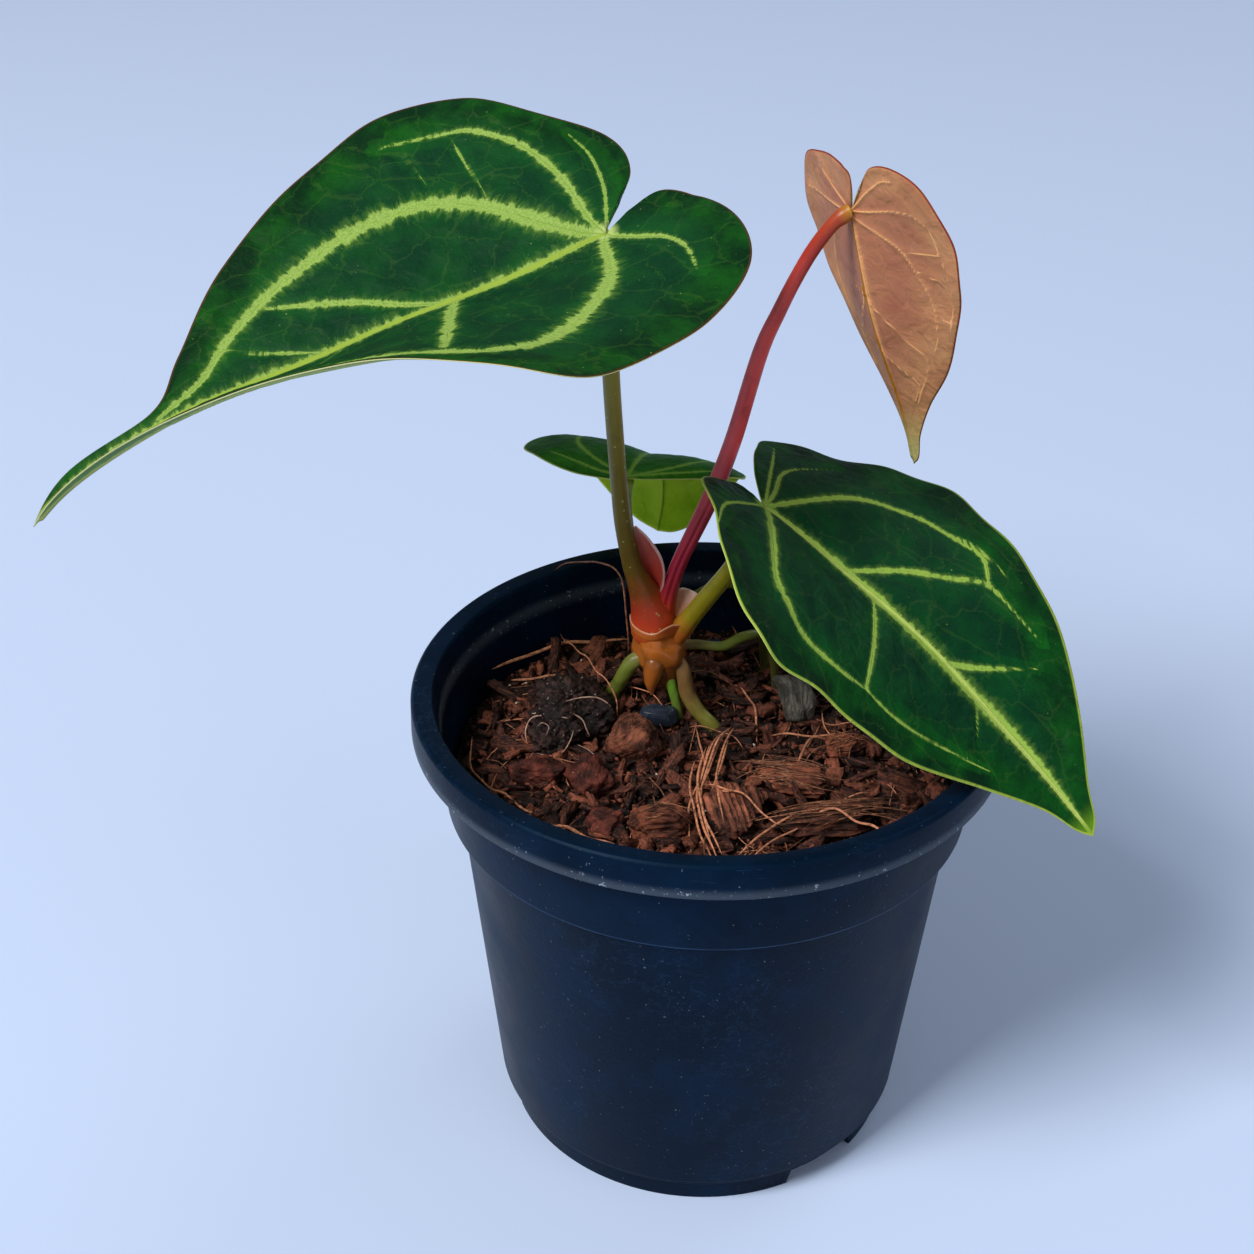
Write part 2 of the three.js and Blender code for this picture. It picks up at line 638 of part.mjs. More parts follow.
function mixBody() {
  const rings = 10;
  const sectors = 36;
  const bottom = floorTop + gap;
  const bottomRadius = bodyFootRadius - wall - 1.2;
  const positions = [0, 0, mixHeight(0, 0)];
  for (let ring = 1; ring <= rings; ring += 1) {
    const radius = (mixRadius * ring) / rings;
    for (let k = 0; k < sectors; k += 1) {
      const angle = (2 * Math.PI * k) / sectors;
      const [x, y] = [radius * Math.cos(angle), radius * Math.sin(angle)];
      positions.push(x, y, mixHeight(x, y) - (ring === rings ? 2 : 0));
    }
  }
  const walls = [
    [mixRadius, stepHeight + 3.1],
    [bodyTopRadius - wall - gap, stepHeight + 1.8],
    [bottomRadius, bottom],
  ];
  for (const [radius, z] of walls) {
    for (let k = 0; k < sectors; k += 1) {
      const angle = (2 * Math.PI * k) / sectors;
      positions.push(radius * Math.cos(angle), radius * Math.sin(angle), z);
    }
  }
  positions.push(0, 0, bottom);
  const bottomCentre = positions.length / 3 - 1;
  const index = [];
  const loops = rings + walls.length;
  for (let k = 0; k < sectors; k += 1) {
    const next = (k + 1) % sectors;
    index.push(0, 1 + k, 1 + next);
    index.push(bottomCentre, 1 + (loops - 1) * sectors + next, 1 + (loops - 1) * sectors + k);
    for (let loop = 0; loop + 1 < loops; loop += 1) {
      const a = 1 + loop * sectors + k;
      const b = 1 + loop * sectors + next;
      index.push(a, a + sectors, b, b, a + sectors, b + sectors);
    }
  }
  const geometry = new THREE.BufferGeometry();
  geometry.setAttribute("position", new THREE.Float32BufferAttribute(positions, 3));
  geometry.setIndex(index);
  return geometry;
}

// Small husk chips, flat and slightly bent, strewn by a seeded draw and sunk into the mix
function strewnChips() {
  const random = randomFrom(chipSeed);
  const chips = [];
  for (let n = 0; n < chipCount; n += 1) {
    const distance = 63 * Math.sqrt(random());
    const angle = 2 * Math.PI * random();
    const [x, y] = [distance * Math.cos(angle), distance * Math.sin(angle)];
    const length = 6 + 9 * random();
    const chip = new THREE.BoxGeometry(length, length * (0.4 + 0.4 * random()), 2 + 2.2 * random());
    chip.rotateX((random() - 0.5) * 60 * degree);
    chip.rotateY((random() - 0.5) * 50 * degree);
    chip.rotateZ(2 * Math.PI * random());
    chip.translate(x, y, mixHeight(x, y) + 0.6 * random());
    chips.push(chip);
  }
  return chips;
}

function fibreTubes() {
  return fibres.map((fibre) => {
    const last = fibre.length - 1;
    const path = fibre.map(([x, y], i) => {
      const sunk = i === 0 || i === last ? 1.2 : -0.5;
      return [x, y, mixHeight(x, y) - sunk];
    });
    return taperedTube(path, path.map(() => fibreRadius), 6, 4);
  });
}

// A weathered lump: a rounded block whose surface a few waves push in and out
function chunkGeometry(chunk, seed) {
  const random = randomFrom(seed);
  const phases = [1, 2, 3, 4, 5, 6].map(() => 2 * Math.PI * random());
  const lump = bare(new THREE.IcosahedronGeometry(1, chunk.detail));
  const { position } = lump.attributes;
  for (let i = 0; i < position.count; i += 1) {
    const point = new THREE.Vector3().fromBufferAttribute(position, i);
    const boxy = 1 / Math.max(Math.abs(point.x), Math.abs(point.y), Math.abs(point.z));
    const wave = Math.sin(3.1 * point.x + phases[0]) * Math.cos(2.7 * point.y + phases[1])
      + Math.sin(4.3 * point.z + phases[2]) * Math.cos(3.7 * point.x + phases[3])
      + Math.sin(5.9 * point.y + phases[4]) * Math.cos(5.3 * point.z + phases[5]);
    const stretch = 0.55 + 0.4 * boxy ** 0.8 + 0.6 * chunk.rough * wave;
    position.setXYZ(
      i,
      (point.x * stretch * chunk.size[0]) / 2,
      (point.y * stretch * chunk.size[1]) / 2,
      (point.z * stretch * chunk.size[2]) / 2,
    );
  }
  return lump;
}

// The pieces
const plant = new THREE.Group();

function add(name, geometry, colour, roughness) {
  const mesh = new THREE.Mesh(geometry, material(colour, roughness));
  mesh.name = name;
  plant.add(mesh);
  return mesh;
}

const bladeColours = [0x1f5a2c, 0xc98a72, 0x123f26, 0x3c7a22];
blades.forEach((blade, i) => {
  const mesh = add(blade.name, bladeGeometry(blade), bladeColours[i], 0.5);
  mesh.position.set(...blade.hub);
  mesh.quaternion.copy(bladePose(blade));
});

const petioleColours = [0x77702a, 0xc94a4c, 0x8f8a24, 0x86a03a];
const petioleSolids = petioles.map((petiole, i) => {
  const stem = taperedTube(petiole.path, petiole.radii, petiole.steps, 8);
  const cut = trimmedUnder(stem, blades[i]);
  add(petiole.name, cut, petioleColours[i], 0.45);
  return cut;
});

const rootSolids = roots.map((root) => {
  const steps = 2 * (root.path.length - 1) + 1;
  const solid = taperedTube(root.path, root.radii, steps, 7);
  add(root.name, solid, 0x6c6a2c, 0.6);
  return solid;
});

const rhizomeBody = solidOf(taperedTube(rhizomePath, rhizomeRadii, 12, 12))
  .add(solidOf(taperedTube(budPath, budRadii, 5, 8)));
const rhizome = carved(geometryOf(rhizomeBody), [...petioleSolids, ...rootSolids]);
add("rhizome", rhizome, 0xb8672c, 0.4);

const stemBase = [rhizome, ...petioleSolids];
sheaths.forEach((sheath) => {
  const cut = carved(sheathGeometry(sheath), stemBase, 2.5 * gap);
  stemBase.push(cut);
  add(sheath.name, cut, sheath.colour, sheath.roughness);
});

const chunkSolids = chunks.map((chunk, i) => {
  const mesh = add(chunk.name, chunkGeometry(chunk, 5 + i), chunk.colour, 0.85);
  mesh.position.set(...chunk.at);
  mesh.rotation.set(chunk.tilt * degree, 0, chunk.turn * degree, "ZXY");
  return placed(mesh);
});

let mix = solidOf(mixBody());
for (const loose of [...strewnChips(), ...fibreTubes()]) {
  mix = mix.add(solidOf(loose));
}
add(
  "potting_mix",
  carved(geometryOf(mix), [...rootSolids, ...chunkSolids]),
  0x4a281c,
  0.95,
);
add("pot", potGeometry(), 0x161f2c, 0.5);

export default plant;
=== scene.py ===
"""Dresses a potted aroid with velvety heart-shaped blades: pot, coir mix, rhizome and leaves.

Every surface is worked out with numpy in millimetres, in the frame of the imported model, and is
put into its mesh in metres. Colours are screen values from 0 to 255 in the tables below.
"""

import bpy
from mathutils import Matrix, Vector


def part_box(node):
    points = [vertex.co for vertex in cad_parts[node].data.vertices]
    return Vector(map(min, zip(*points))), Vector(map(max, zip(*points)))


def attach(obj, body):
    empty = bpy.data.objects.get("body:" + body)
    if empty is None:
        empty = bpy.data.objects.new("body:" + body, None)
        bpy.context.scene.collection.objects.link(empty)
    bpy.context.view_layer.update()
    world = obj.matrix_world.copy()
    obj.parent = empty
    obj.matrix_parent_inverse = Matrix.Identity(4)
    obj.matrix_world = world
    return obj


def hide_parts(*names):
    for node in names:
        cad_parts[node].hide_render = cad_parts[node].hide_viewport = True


bl_info = {
    "name": "Potted Aroid",
    "version": (1, 0, 0),
    "blender": (4, 5, 0),
    "location": "3D View > Sidebar > Potted Aroid",
    "description": "Builds the finished surfaces of a young aroid in a nursery pot",
    "category": "Add Mesh",
}

import math

import bpy
import numpy as np
from bpy.props import FloatProperty, FloatVectorProperty, IntProperty, PointerProperty
from mathutils import Matrix, Vector

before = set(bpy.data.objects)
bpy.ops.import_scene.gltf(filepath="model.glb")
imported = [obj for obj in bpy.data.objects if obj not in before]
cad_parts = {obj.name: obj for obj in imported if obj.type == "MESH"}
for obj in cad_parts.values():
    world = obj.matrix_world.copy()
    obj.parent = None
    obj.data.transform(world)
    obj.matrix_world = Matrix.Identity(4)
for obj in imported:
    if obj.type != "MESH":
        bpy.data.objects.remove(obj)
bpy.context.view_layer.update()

MM = 0.001
BODY = "root"
POT_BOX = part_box("pot")
POT_HEIGHT = POT_BOX[1][2] / MM
RIM_FLARE = 0.2
RIM_RADIUS = POT_BOX[1][0] / MM - RIM_FLARE

# How many points a smooth fibre or root on the mix has
FIBRE_STEPS = 36
# Radii of the rings that round off the end of a tube, as shares of its end radius
CAP_RADII = np.array([0.02, 0.5, 0.87])


# Curves and grids

def spline(points, t):
    """A smooth curve through the points: a uniform Catmull-Rom cubic, with each end carried on
    straight, read at the shares t of its length in points."""
    points = np.asarray(points, float)
    ends = np.vstack([2 * points[0] - points[1], points, 2 * points[-1] - points[-2]])
    spans = len(points) - 1
    place = np.clip(t, 0, 1) * spans
    i = np.minimum(place.astype(int), spans - 1)
    f = (place - i)[:, None]
    before, start, end, after = ends[i], ends[i + 1], ends[i + 2], ends[i + 3]
    leave, arrive = (end - before) / 2, (after - start) / 2
    cubic = (2 * start - 2 * end + leave + arrive) * f ** 3
    square = (-3 * start + 3 * end - 2 * leave - arrive) * f ** 2
    return cubic + square + leave * f + start


def levels(values, t):
    """A smooth run through plain numbers, read at the shares t."""
    return spline(np.asarray(values, float)[:, None], t)[:, 0]


def turn(axis, degrees):
    """A 3 by 3 turn about one of the axes x, y or z."""
    return np.array(Matrix.Rotation(math.radians(degrees), 3, axis))


def unit(vectors):
    """The vectors brought to length 1."""
    return vectors / np.maximum(np.linalg.norm(vectors, axis=-1, keepdims=True), 1e-12)


def step_up(low, high, values):
    """A smooth step from 0 at low to 1 at high."""
    s = np.clip((values - low) / (high - low), 0, 1)
    return s * s * (3 - 2 * s)


def ripples(points, seed, size, octaves=3):
    """Smooth noise between about -1 and 1: sines along seeded random directions, each octave
    with half the wavelength and a little over half the height of the one before."""
    sines, gain, fall = 6, 1.6, 0.55
    rng = np.random.default_rng(seed)
    total = np.zeros(points.shape[:-1])
    height = 1.0
    for octave in range(octaves):
        for _ in range(sines):
            direction = unit(rng.normal(size=points.shape[-1]))
            waves = 2 ** octave * (0.7 + 0.6 * rng.random()) * 2 * math.pi / size
            phase = rng.random() * 7
            total += height / sines * gain * np.sin(points @ direction * waves + phase)
        height *= fall
    return total


def grid_faces(rows, columns, wrap=False):
    """Corner numbers of the quads of a grid of rows by columns points, closed on itself across
    the columns where it wraps."""
    across = columns if wrap else columns - 1
    i, j = np.meshgrid(np.arange(rows - 1), np.arange(across), indexing="ij")
    a = i * columns + j
    b = i * columns + (j + 1) % columns
    return np.stack([a, b, b + columns, a + columns], -1).reshape(-1, 4)


def closed_rows(rows, columns):
    """Faces of a grid that closes round its columns, with one face that fills each end row.
    They point outwards where the columns run anticlockwise about the way the rows go."""
    quads = grid_faces(rows, columns, wrap=True).tolist()
    first = list(range(columns))[::-1]
    last = [(rows - 1) * columns + k for k in range(columns)]
    return quads + [first, last]


def fanned_rows(points, columns, centres):
    """Points and faces of a grid that closes round its columns as in closed_rows, with a fan of
    triangles from each end row to the centre point given for it."""
    count = len(points)
    ring = np.arange(columns)
    faces = grid_faces(count // columns, columns, wrap=True).tolist()
    for rim, centre in ((ring[::-1], count), (count - columns + ring, count + 1)):
        faces += np.column_stack([rim, np.roll(rim, -1), np.full(columns, centre)]).tolist()
    return np.vstack([points, centres]), faces


def flipped(faces):
    """The same faces turned over."""
    return [face[::-1] for face in faces]


def make_piece(name, points, faces, finishes, nodes=(), layers=None, indices=None):
    """Puts millimetre points and faces into a mesh in metres, with its finishes, rides it on
    the body and hides the nodes that it stands for. Layers are values for each point, and indices
    tell each face's finish."""
    mesh = bpy.data.meshes.new(name)
    mesh.from_pydata((np.asarray(points) * MM).tolist(), [], [list(face) for face in faces])
    for finish in finishes:
        mesh.materials.append(finish)
    if indices is not None:
        mesh.polygons.foreach_set("material_index", np.asarray(indices, np.int32))
    mesh.polygons.foreach_set("use_smooth", np.ones(len(mesh.polygons), bool))
    for key, values in (layers or {}).items():
        kind, field = ("FLOAT", "value") if values.ndim == 1 else ("FLOAT_VECTOR", "vector")
        layer = mesh.attributes.new(key, kind, "POINT")
        layer.data.foreach_set(field, np.asarray(values, np.float32).ravel())
    mesh.validate()
    mesh.update()
    piece = bpy.data.objects.new(name, mesh)
    bpy.context.scene.collection.objects.link(piece)
    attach(piece, BODY)
    if nodes:
        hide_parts(*nodes)


def scatter(shapes, faces):
    """Joins many copies: shapes holds each copy's points as copies by points by 3."""
    copies, count = shapes.shape[:2]
    shifted = faces[None] + (np.arange(copies) * count)[:, None, None]
    return shapes.reshape(-1, 3), shifted.reshape(-1, faces.shape[1])


def tube(path, radii, steps, sides, shape=None):
    """A closed tube along a smooth path. Its section is a circle of the run of radii, times
    what shape gives for the share along and the angle round; the frame is carried along the
    path without turning. The ends close in rounded caps. Gives points, faces and the share
    along of each point."""
    t = np.linspace(0, 1, steps)
    centre = spline(path, t)
    along = unit(np.gradient(centre, axis=0))
    side = np.empty_like(along)
    carried = np.array([0.0, 1.0, 0.0])
    for i in range(steps):
        carried = carried - along[i] * (carried @ along[i])
        carried /= np.linalg.norm(carried)
        side[i] = carried
    other = np.cross(along, side)
    radius = levels(radii, t)
    lead = np.sqrt(1 - CAP_RADII ** 2)
    centre = np.vstack([
        centre[0] - along[0] * (lead * radius[0])[:, None], centre,
        centre[-1] + along[-1] * (lead * radius[-1])[::-1, None]])
    radius = np.concatenate([CAP_RADII * radius[0], radius, (CAP_RADII * radius[-1])[::-1]])
    pad = len(CAP_RADII)
    side, other = [np.pad(frame_line, ((pad, pad), (0, 0)), "edge") for frame_line in (side, other)]
    angle = np.arange(sides) * 2 * math.pi / sides
    share, angle = np.meshgrid(np.pad(t, pad, "edge"), angle, indexing="ij")
    reach = radius[:, None] * (1 if shape is None else shape(share, angle))
    points = centre[:, None] + reach[..., None] * (
        side[:, None] * np.cos(angle)[..., None] + other[:, None] * np.sin(angle)[..., None])
    return points.reshape(-1, 3), closed_rows(len(centre), sides), share.ravel()


# Finishes

class Finish:
    """A node material with one principled shader, built up by short calls."""

    def __init__(self, name, **constants):
        self.material = bpy.data.materials.new(name)
        self.material.use_nodes = True
        self.tree = self.material.node_tree
        self.shader = self.tree.nodes["Principled BSDF"]
        self.set(**constants)

    def set(self, **values):
        """Sets or links sockets of the shader; underscores stand for spaces."""
        for key, value in values.items():
            self.feed(self.shader.inputs[key.replace("_", " ")], value)

    def feed(self, socket, value):
        """Links a socket to another node's output, or sets it to a value or colour."""
        if isinstance(value, bpy.types.NodeSocket):
            self.tree.links.new(value, socket)
        elif isinstance(value, (tuple, list)) and len(value) == 3 and socket.type == "RGBA":
            socket.default_value = (*value, 1)
        else:
            socket.default_value = value

    def node(self, kind, inputs=(), **settings):
        """Adds a node with its settings and inputs."""
        made = self.tree.nodes.new(kind)
        for key, value in settings.items():
            setattr(made, key, value)
        for index, value in dict(inputs).items():
            self.feed(made.inputs[index], value)
        return made

    def layer(self, name):
        """The mesh layer of that name: a node with a plain value and a vector."""
        return self.node("ShaderNodeAttribute", attribute_name=name)

    def split(self, vector):
        """The three parts of a vector."""
        return tuple(self.node("ShaderNodeSeparateXYZ", {0: vector}).outputs)

    def join(self, x, y, z=0.0):
        """A vector from its parts."""
        return self.node("ShaderNodeCombineXYZ", {0: x, 1: y, 2: z}).outputs[0]

    def place(self):
        """Where the point lies on the object, in metres."""
        return self.node("ShaderNodeTexCoord").outputs["Object"]

    def stretch(self, vector, scale):
        """The vector scaled by its own share along each axis."""
        return self.node("ShaderNodeMapping", {"Vector": vector, "Scale": scale}).outputs[0]

    def noise(self, vector, scale, detail=4.0, rough=0.55, warp=0.0):
        """Soft noise around 0.5."""
        return self.node("ShaderNodeTexNoise", {
            "Vector": vector, "Scale": scale, "Detail": detail, "Roughness": rough,
            "Distortion": warp}).outputs[0]

    def cells(self, vector, scale, feature="DISTANCE_TO_EDGE"):
        """Distance to the border or to the middle of the nearest random cell."""
        return self.node("ShaderNodeTexVoronoi", {"Vector": vector, "Scale": scale},
                         feature=feature).outputs[0]

    def math(self, operation, a, b=0.0, clamp=False):
        """Two values joined by the named operation."""
        return self.node("ShaderNodeMath", {0: a, 1: b}, operation=operation,
                         use_clamp=clamp).outputs[0]

    def times(self, a, b):
        """One value multiplied by the other."""
        return self.math("MULTIPLY", a, b)

    def plus(self, a, b, clamp=False):
        """One value added to the other, kept between 0 and 1 where it is clamped."""
        return self.math("ADD", a, b, clamp)

    def off_half(self, value):
        """How far the value is from a half, either way."""
        return self.math("ABSOLUTE", self.math("SUBTRACT", value, 0.5))

    def ease(self, value, low, high, out_low=0.0, out_high=1.0):
        """A smooth step of the value between low and high; low may be above high."""
        if low > high:
            low, high, out_low, out_high = high, low, out_high, out_low
        return self.node("ShaderNodeMapRange", {
            0: value, 1: low, 2: high, 3: out_low, 4: out_high},
            interpolation_type="SMOOTHSTEP").outputs[0]

    def band(self, height, level, spans):
        """A soft band over a height in metres: with spans in millimetres above the level, it
        rises from the first to the second and falls from the third to the fourth."""
        rise, full, fade, end = [(level + span) * MM for span in spans]
        return self.times(self.ease(height, rise, full), self.ease(height, end, fade))

    def mix(self, share, one, other):
        """One colour where the share is 0 and the other where it is 1."""
        return self.node("ShaderNodeMix", {0: share, 6: one, 7: other},
                         data_type="RGBA").outputs[2]

    def bump(self, height, strength, distance, under=None):
        """The normal tilted by a height, over another bumped normal where one is given."""
        inputs = {"Height": height, "Strength": strength, "Distance": distance}
        if under is not None:
            inputs["Normal"] = under
        return self.node("ShaderNodeBump", inputs).outputs[0]


def srgb(red, green, blue):
    """Screen colour from 0 to 255 to the linear values that a shader takes."""
    values = np.array([red, green, blue]) / 255
    linear = np.where(values <= 0.04045, values / 12.92, ((values + 0.055) / 1.055) ** 2.4)
    return tuple(float(value) for value in linear)


def scaled(colour, share):
    """A linear colour with each part multiplied by the share."""
    return tuple(share * part for part in colour)


# The pot

# Radii and heights of the pot in millimetres, and the gaps between its three feet in degrees
POT = dict(
    rim_mouth=74, rim_depth=9.7, band_top=73.5, band_step=71.6, step=103, body_top=68,
    body_foot=58.7, foot_height=8.8, foot=55.8, wall=1.6, floor_under=3, floor_top=6, boss=16,
    gap_angles=(-49, 71, 191), gap_width=25, gap_lift=4.6)
WORN_PLASTIC = (60, 92, 134)
POT_DUST = (140, 152, 164)


def rounded(profile, radius=0.5, corner_points=4):
    """Replaces each corner of a profile by a short curve: a quadratic between points cut back
    along both sides by the radius, or by a third of the shorter side."""
    profile = np.asarray(profile, float)
    out = [profile[:1]]
    for before, corner, after in zip(profile[:-2], profile[1:-1], profile[2:]):
        cut = min(radius, np.linalg.norm(before - corner) / 3, np.linalg.norm(after - corner) / 3)
        start = corner + cut * (before - corner) / np.linalg.norm(before - corner)
        end = corner + cut * (after - corner) / np.linalg.norm(after - corner)
        s = np.linspace(0, 1, corner_points)[:, None]
        out.append((1 - s) ** 2 * start + 2 * s * (1 - s) * corner + s ** 2 * end)
    out.append(profile[-1:])
    return np.vstack(out)


def pot_surface(segments=240):
    """The pot turned about its axis: a rounded profile at every angle, from the middle of its
    underside out, up, over the rim and down inside to the middle of its floor. The foot ring
    rises by the gap's lift inside the three gaps."""
    p = POT
    height, rim = POT_HEIGHT, RIM_RADIUS
    skirt = rim - p["wall"]
    profile = rounded([
        (0, 0), (p["boss"], 0), (p["boss"] + 1, p["floor_under"]),
        (p["foot"] - p["wall"] - 1, p["floor_under"]), (p["foot"] - p["wall"], 0),
        (p["foot"], 0), (p["foot"] + 0.3, p["foot_height"] - 0.6),
        (p["body_foot"], p["foot_height"]), (p["body_top"], p["step"] - 0.6),
        (p["band_step"], p["step"] + 0.6), (p["band_top"], height - p["rim_depth"] - 2),
        (p["band_top"] + 0.3, height - 2.4), (skirt - 0.8, height - 2.4),
        (skirt, height - p["rim_depth"]), (rim + RIM_FLARE, height - p["rim_depth"]),
        (rim, height - 1), (rim - 0.9, height), (p["rim_mouth"] + 0.4, height - 0.5),
        (p["rim_mouth"] - 0.2, height - 1.5),
        (p["band_top"] - p["wall"], height - p["rim_depth"] - 2),
        (p["band_step"] - p["wall"], p["step"] + 2.6),
        (p["body_top"] - p["wall"], p["step"] + 1.4),
        (p["body_foot"] - p["wall"] - 0.4, p["floor_top"]), (0, p["floor_top"])])
    angle = np.arange(segments) * 2 * math.pi / segments
    radius, z = profile[:, :1] + 0 * angle, profile[:, 1:] + 0 * angle
    gap_edge, softness = p["gap_width"] / 2, 0.9
    inside = np.zeros(segments)
    for middle in p["gap_angles"]:
        off = np.abs((np.degrees(angle) - middle + 180) % 360 - 180)
        inside = np.maximum(inside, 1 - step_up(gap_edge - softness, gap_edge, off))
    foot_ring = (radius > p["foot"] - 3) & (z < 4)
    lifted = np.where(foot_ring, np.maximum(z, p["gap_lift"] * inside), z)
    points = np.stack([radius * np.cos(angle), radius * np.sin(angle), lifted], -1)
    return fanned_rows(points[1:-1].reshape(-1, 3), segments, [(0, 0, 0), (0, 0, p["floor_top"])])


def pot_finish(colour):
    """Dark satin plastic: faint mottling, fine scuffs and winding scratches, pale specks, dust
    on the rim's lower edge, a worn line along the step, and a slight orange peel."""
    finish = Finish("pot_plastic_finish", IOR=1.5, Specular_IOR_Level=0.06)
    finish.shader.inputs["Specular Tint"].default_value = (0.5, 0.8, 1, 1)
    place = finish.place()
    x, y, z = finish.split(place)
    cloud = finish.noise(place, 34, 5, 0.6)
    base = finish.mix(finish.ease(cloud, 0.4, 0.68), colour, scaled(colour, 1.8))
    round_about = finish.join(finish.times(finish.math("ARCTAN2", y, x), 0.07), z)
    scuff = finish.noise(finish.stretch(round_about, (60, 900, 1)), 2.2, 6, 0.7, 0.4)
    patch = finish.noise(place, 22, 3, 0.5)
    scuffed = finish.times(finish.ease(scuff, 0.6, 0.74), finish.ease(patch, 0.5, 0.66))
    low_edge = POT_HEIGHT - POT["rim_depth"]
    step_line = finish.band(z, POT["step"], (0.1, 0.5, 0.8, 1.4))
    wear = finish.times(step_line, finish.ease(finish.noise(place, 90, 4), 0.3, 0.6, 0.4, 1))
    winding = finish.off_half(finish.noise(place, 90, 6, 0.7))
    scratched = finish.times(finish.ease(winding, 0.008, 0.002), finish.ease(patch, 0.44, 0.62))
    on_rim = finish.times(finish.ease(scuff, 0.62, 0.7),
                          finish.ease(z, low_edge * MM, (low_edge + 0.6) * MM))
    rubbed = 0
    for mark, weight in ((scuffed, 0.06), (wear, 0.4), (scratched, 0.16), (on_rim, 0.22)):
        rubbed = finish.plus(rubbed, finish.times(mark, weight), True)
    base = finish.mix(rubbed, base, srgb(*WORN_PLASTIC))
    specks = finish.ease(finish.noise(place, 620, 3, 0.65), 0.62, 0.68)
    dusty = finish.times(finish.band(z, low_edge, (-2.5, 0.8, 1, 3.6)), finish.plus(specks, 0.16))
    grit = finish.times(finish.ease(finish.noise(place, 950, 2, 0.6), 0.71, 0.76), 0.4)
    base = finish.mix(finish.plus(dusty, grit, True), base, srgb(*POT_DUST))
    peel = finish.bump(finish.noise(place, 700, 2), 0.12, 0.0004)
    finish.set(Base_Color=base, Roughness=finish.ease(cloud, 0.2, 0.8, 0.3, 0.46),
               Normal=finish.bump(scuff, 0.08, 0.0004, peel))
    return finish.material


# The potting mix

# The mix's mean height and its radius, the radius of the disc that loose pieces lie on, and how
# far the bed lies under the CAD height
MIX = dict(level=112.5, radius=69.7, strewn=66.5, sunk=1.6)


def mix_height(x, y):
    """The CAD mix's height: a mound at the back left, a hollow at the right and slow lumps."""
    mound = 4.5 * np.exp(-((x + 34) / 30) ** 2 - ((y - 26) / 30) ** 2)
    hollow = -1.5 * np.exp(-((x - 40) / 26) ** 2 - ((y + 4) / 30) ** 2)
    lumps = 0.9 * np.sin(0.21 * x + 1.3) * np.cos(0.19 * y - 0.4)
    return MIX["level"] + mound + hollow + lumps + 0.5 * np.sin(0.47 * x - 0.31 * y)


def mix_surface(rings=110, segments=320):
    """The mix's top as rings of points: the CAD height less a little, so that loose pieces lie
    on it, plus crumbly noise; its side and bottom follow the pot's inner wall."""
    angle = np.arange(segments) * 2 * math.pi / segments
    radius = np.linspace(0.4, MIX["radius"] - 0.4, rings)[:, None] + 0 * angle
    x, y = radius * np.cos(angle), radius * np.sin(angle)
    flat = np.stack([x, y], -1)
    crumb = 0.9 * ripples(flat, 3, 7, 3) + 0.45 * np.abs(ripples(flat, 4, 1.6, 3))
    z = mix_height(x, y) - MIX["sunk"] + crumb - 1.6 * step_up(64, 70, radius)
    top = np.stack([x, y, z], -1)
    bottom = POT["floor_top"] + 0.4
    side = [(MIX["radius"] - 0.3, POT["step"] + 3.4),
            (POT["body_top"] - POT["wall"] - 0.5, POT["step"] + 2),
            (POT["body_foot"] - POT["wall"] - 1.4, bottom)]
    around = np.stack([np.cos(angle), np.sin(angle)], -1)
    skirts = [np.column_stack([r * around, np.full(segments, height)]) for r, height in side]
    points, faces = fanned_rows(
        np.vstack([top.reshape(-1, 3), *skirts]), segments, [top[0].mean(0), (0, 0, bottom)])
    return points, flipped(faces)


def box_grid(cuts=(5, 3, 2)):
    """A closed box of side 2 whose six sides are grids with that many cells along x, y and z,
    welded where they meet, so that it can be bent and roughened: points and quads."""
    points, faces = [], []
    for axis in range(3):
        along, across = (axis + 1) % 3, (axis + 2) % 3
        rows, columns = cuts[along] + 1, cuts[across] + 1
        for side in (-1, 1):
            sheet = np.full((rows, columns, 3), float(side))
            sheet[..., along] = np.linspace(-1, 1, rows)[:, None]
            sheet[..., across] = np.linspace(-1, 1, columns)
            # The corner that a quad starts from sets the diagonal that it splits along
            quads = np.roll(grid_faces(rows, columns)[:, ::-side], int(axis > 0), 1)
            faces.append(quads + sum(map(len, points)))
            points.append(sheet.reshape(-1, 3))
    points, place = np.unique(np.vstack(points).round(6), axis=0, return_inverse=True)
    return points, place.ravel()[np.vstack(faces)]


def random_turns(rng, count, lean=35):
    """Turn matrices for pieces that lie about: any heading, leaning up to the given degrees."""
    heading = rng.uniform(0, 360, count)
    lean_x, lean_y = rng.normal(0, lean / 2, (2, count))
    return np.array([
        turn("Z", h) @ turn("X", a) @ turn("Y", b) for h, a, b in zip(heading, lean_x, lean_y)])


def strewn_places(rng, count, reach=MIX["strewn"]):
    """Places spread evenly by area over a disc on the mix."""
    radius = reach * np.sqrt(rng.random(count))
    angle = rng.uniform(0, 2 * math.pi, count)
    return radius * np.cos(angle), radius * np.sin(angle)


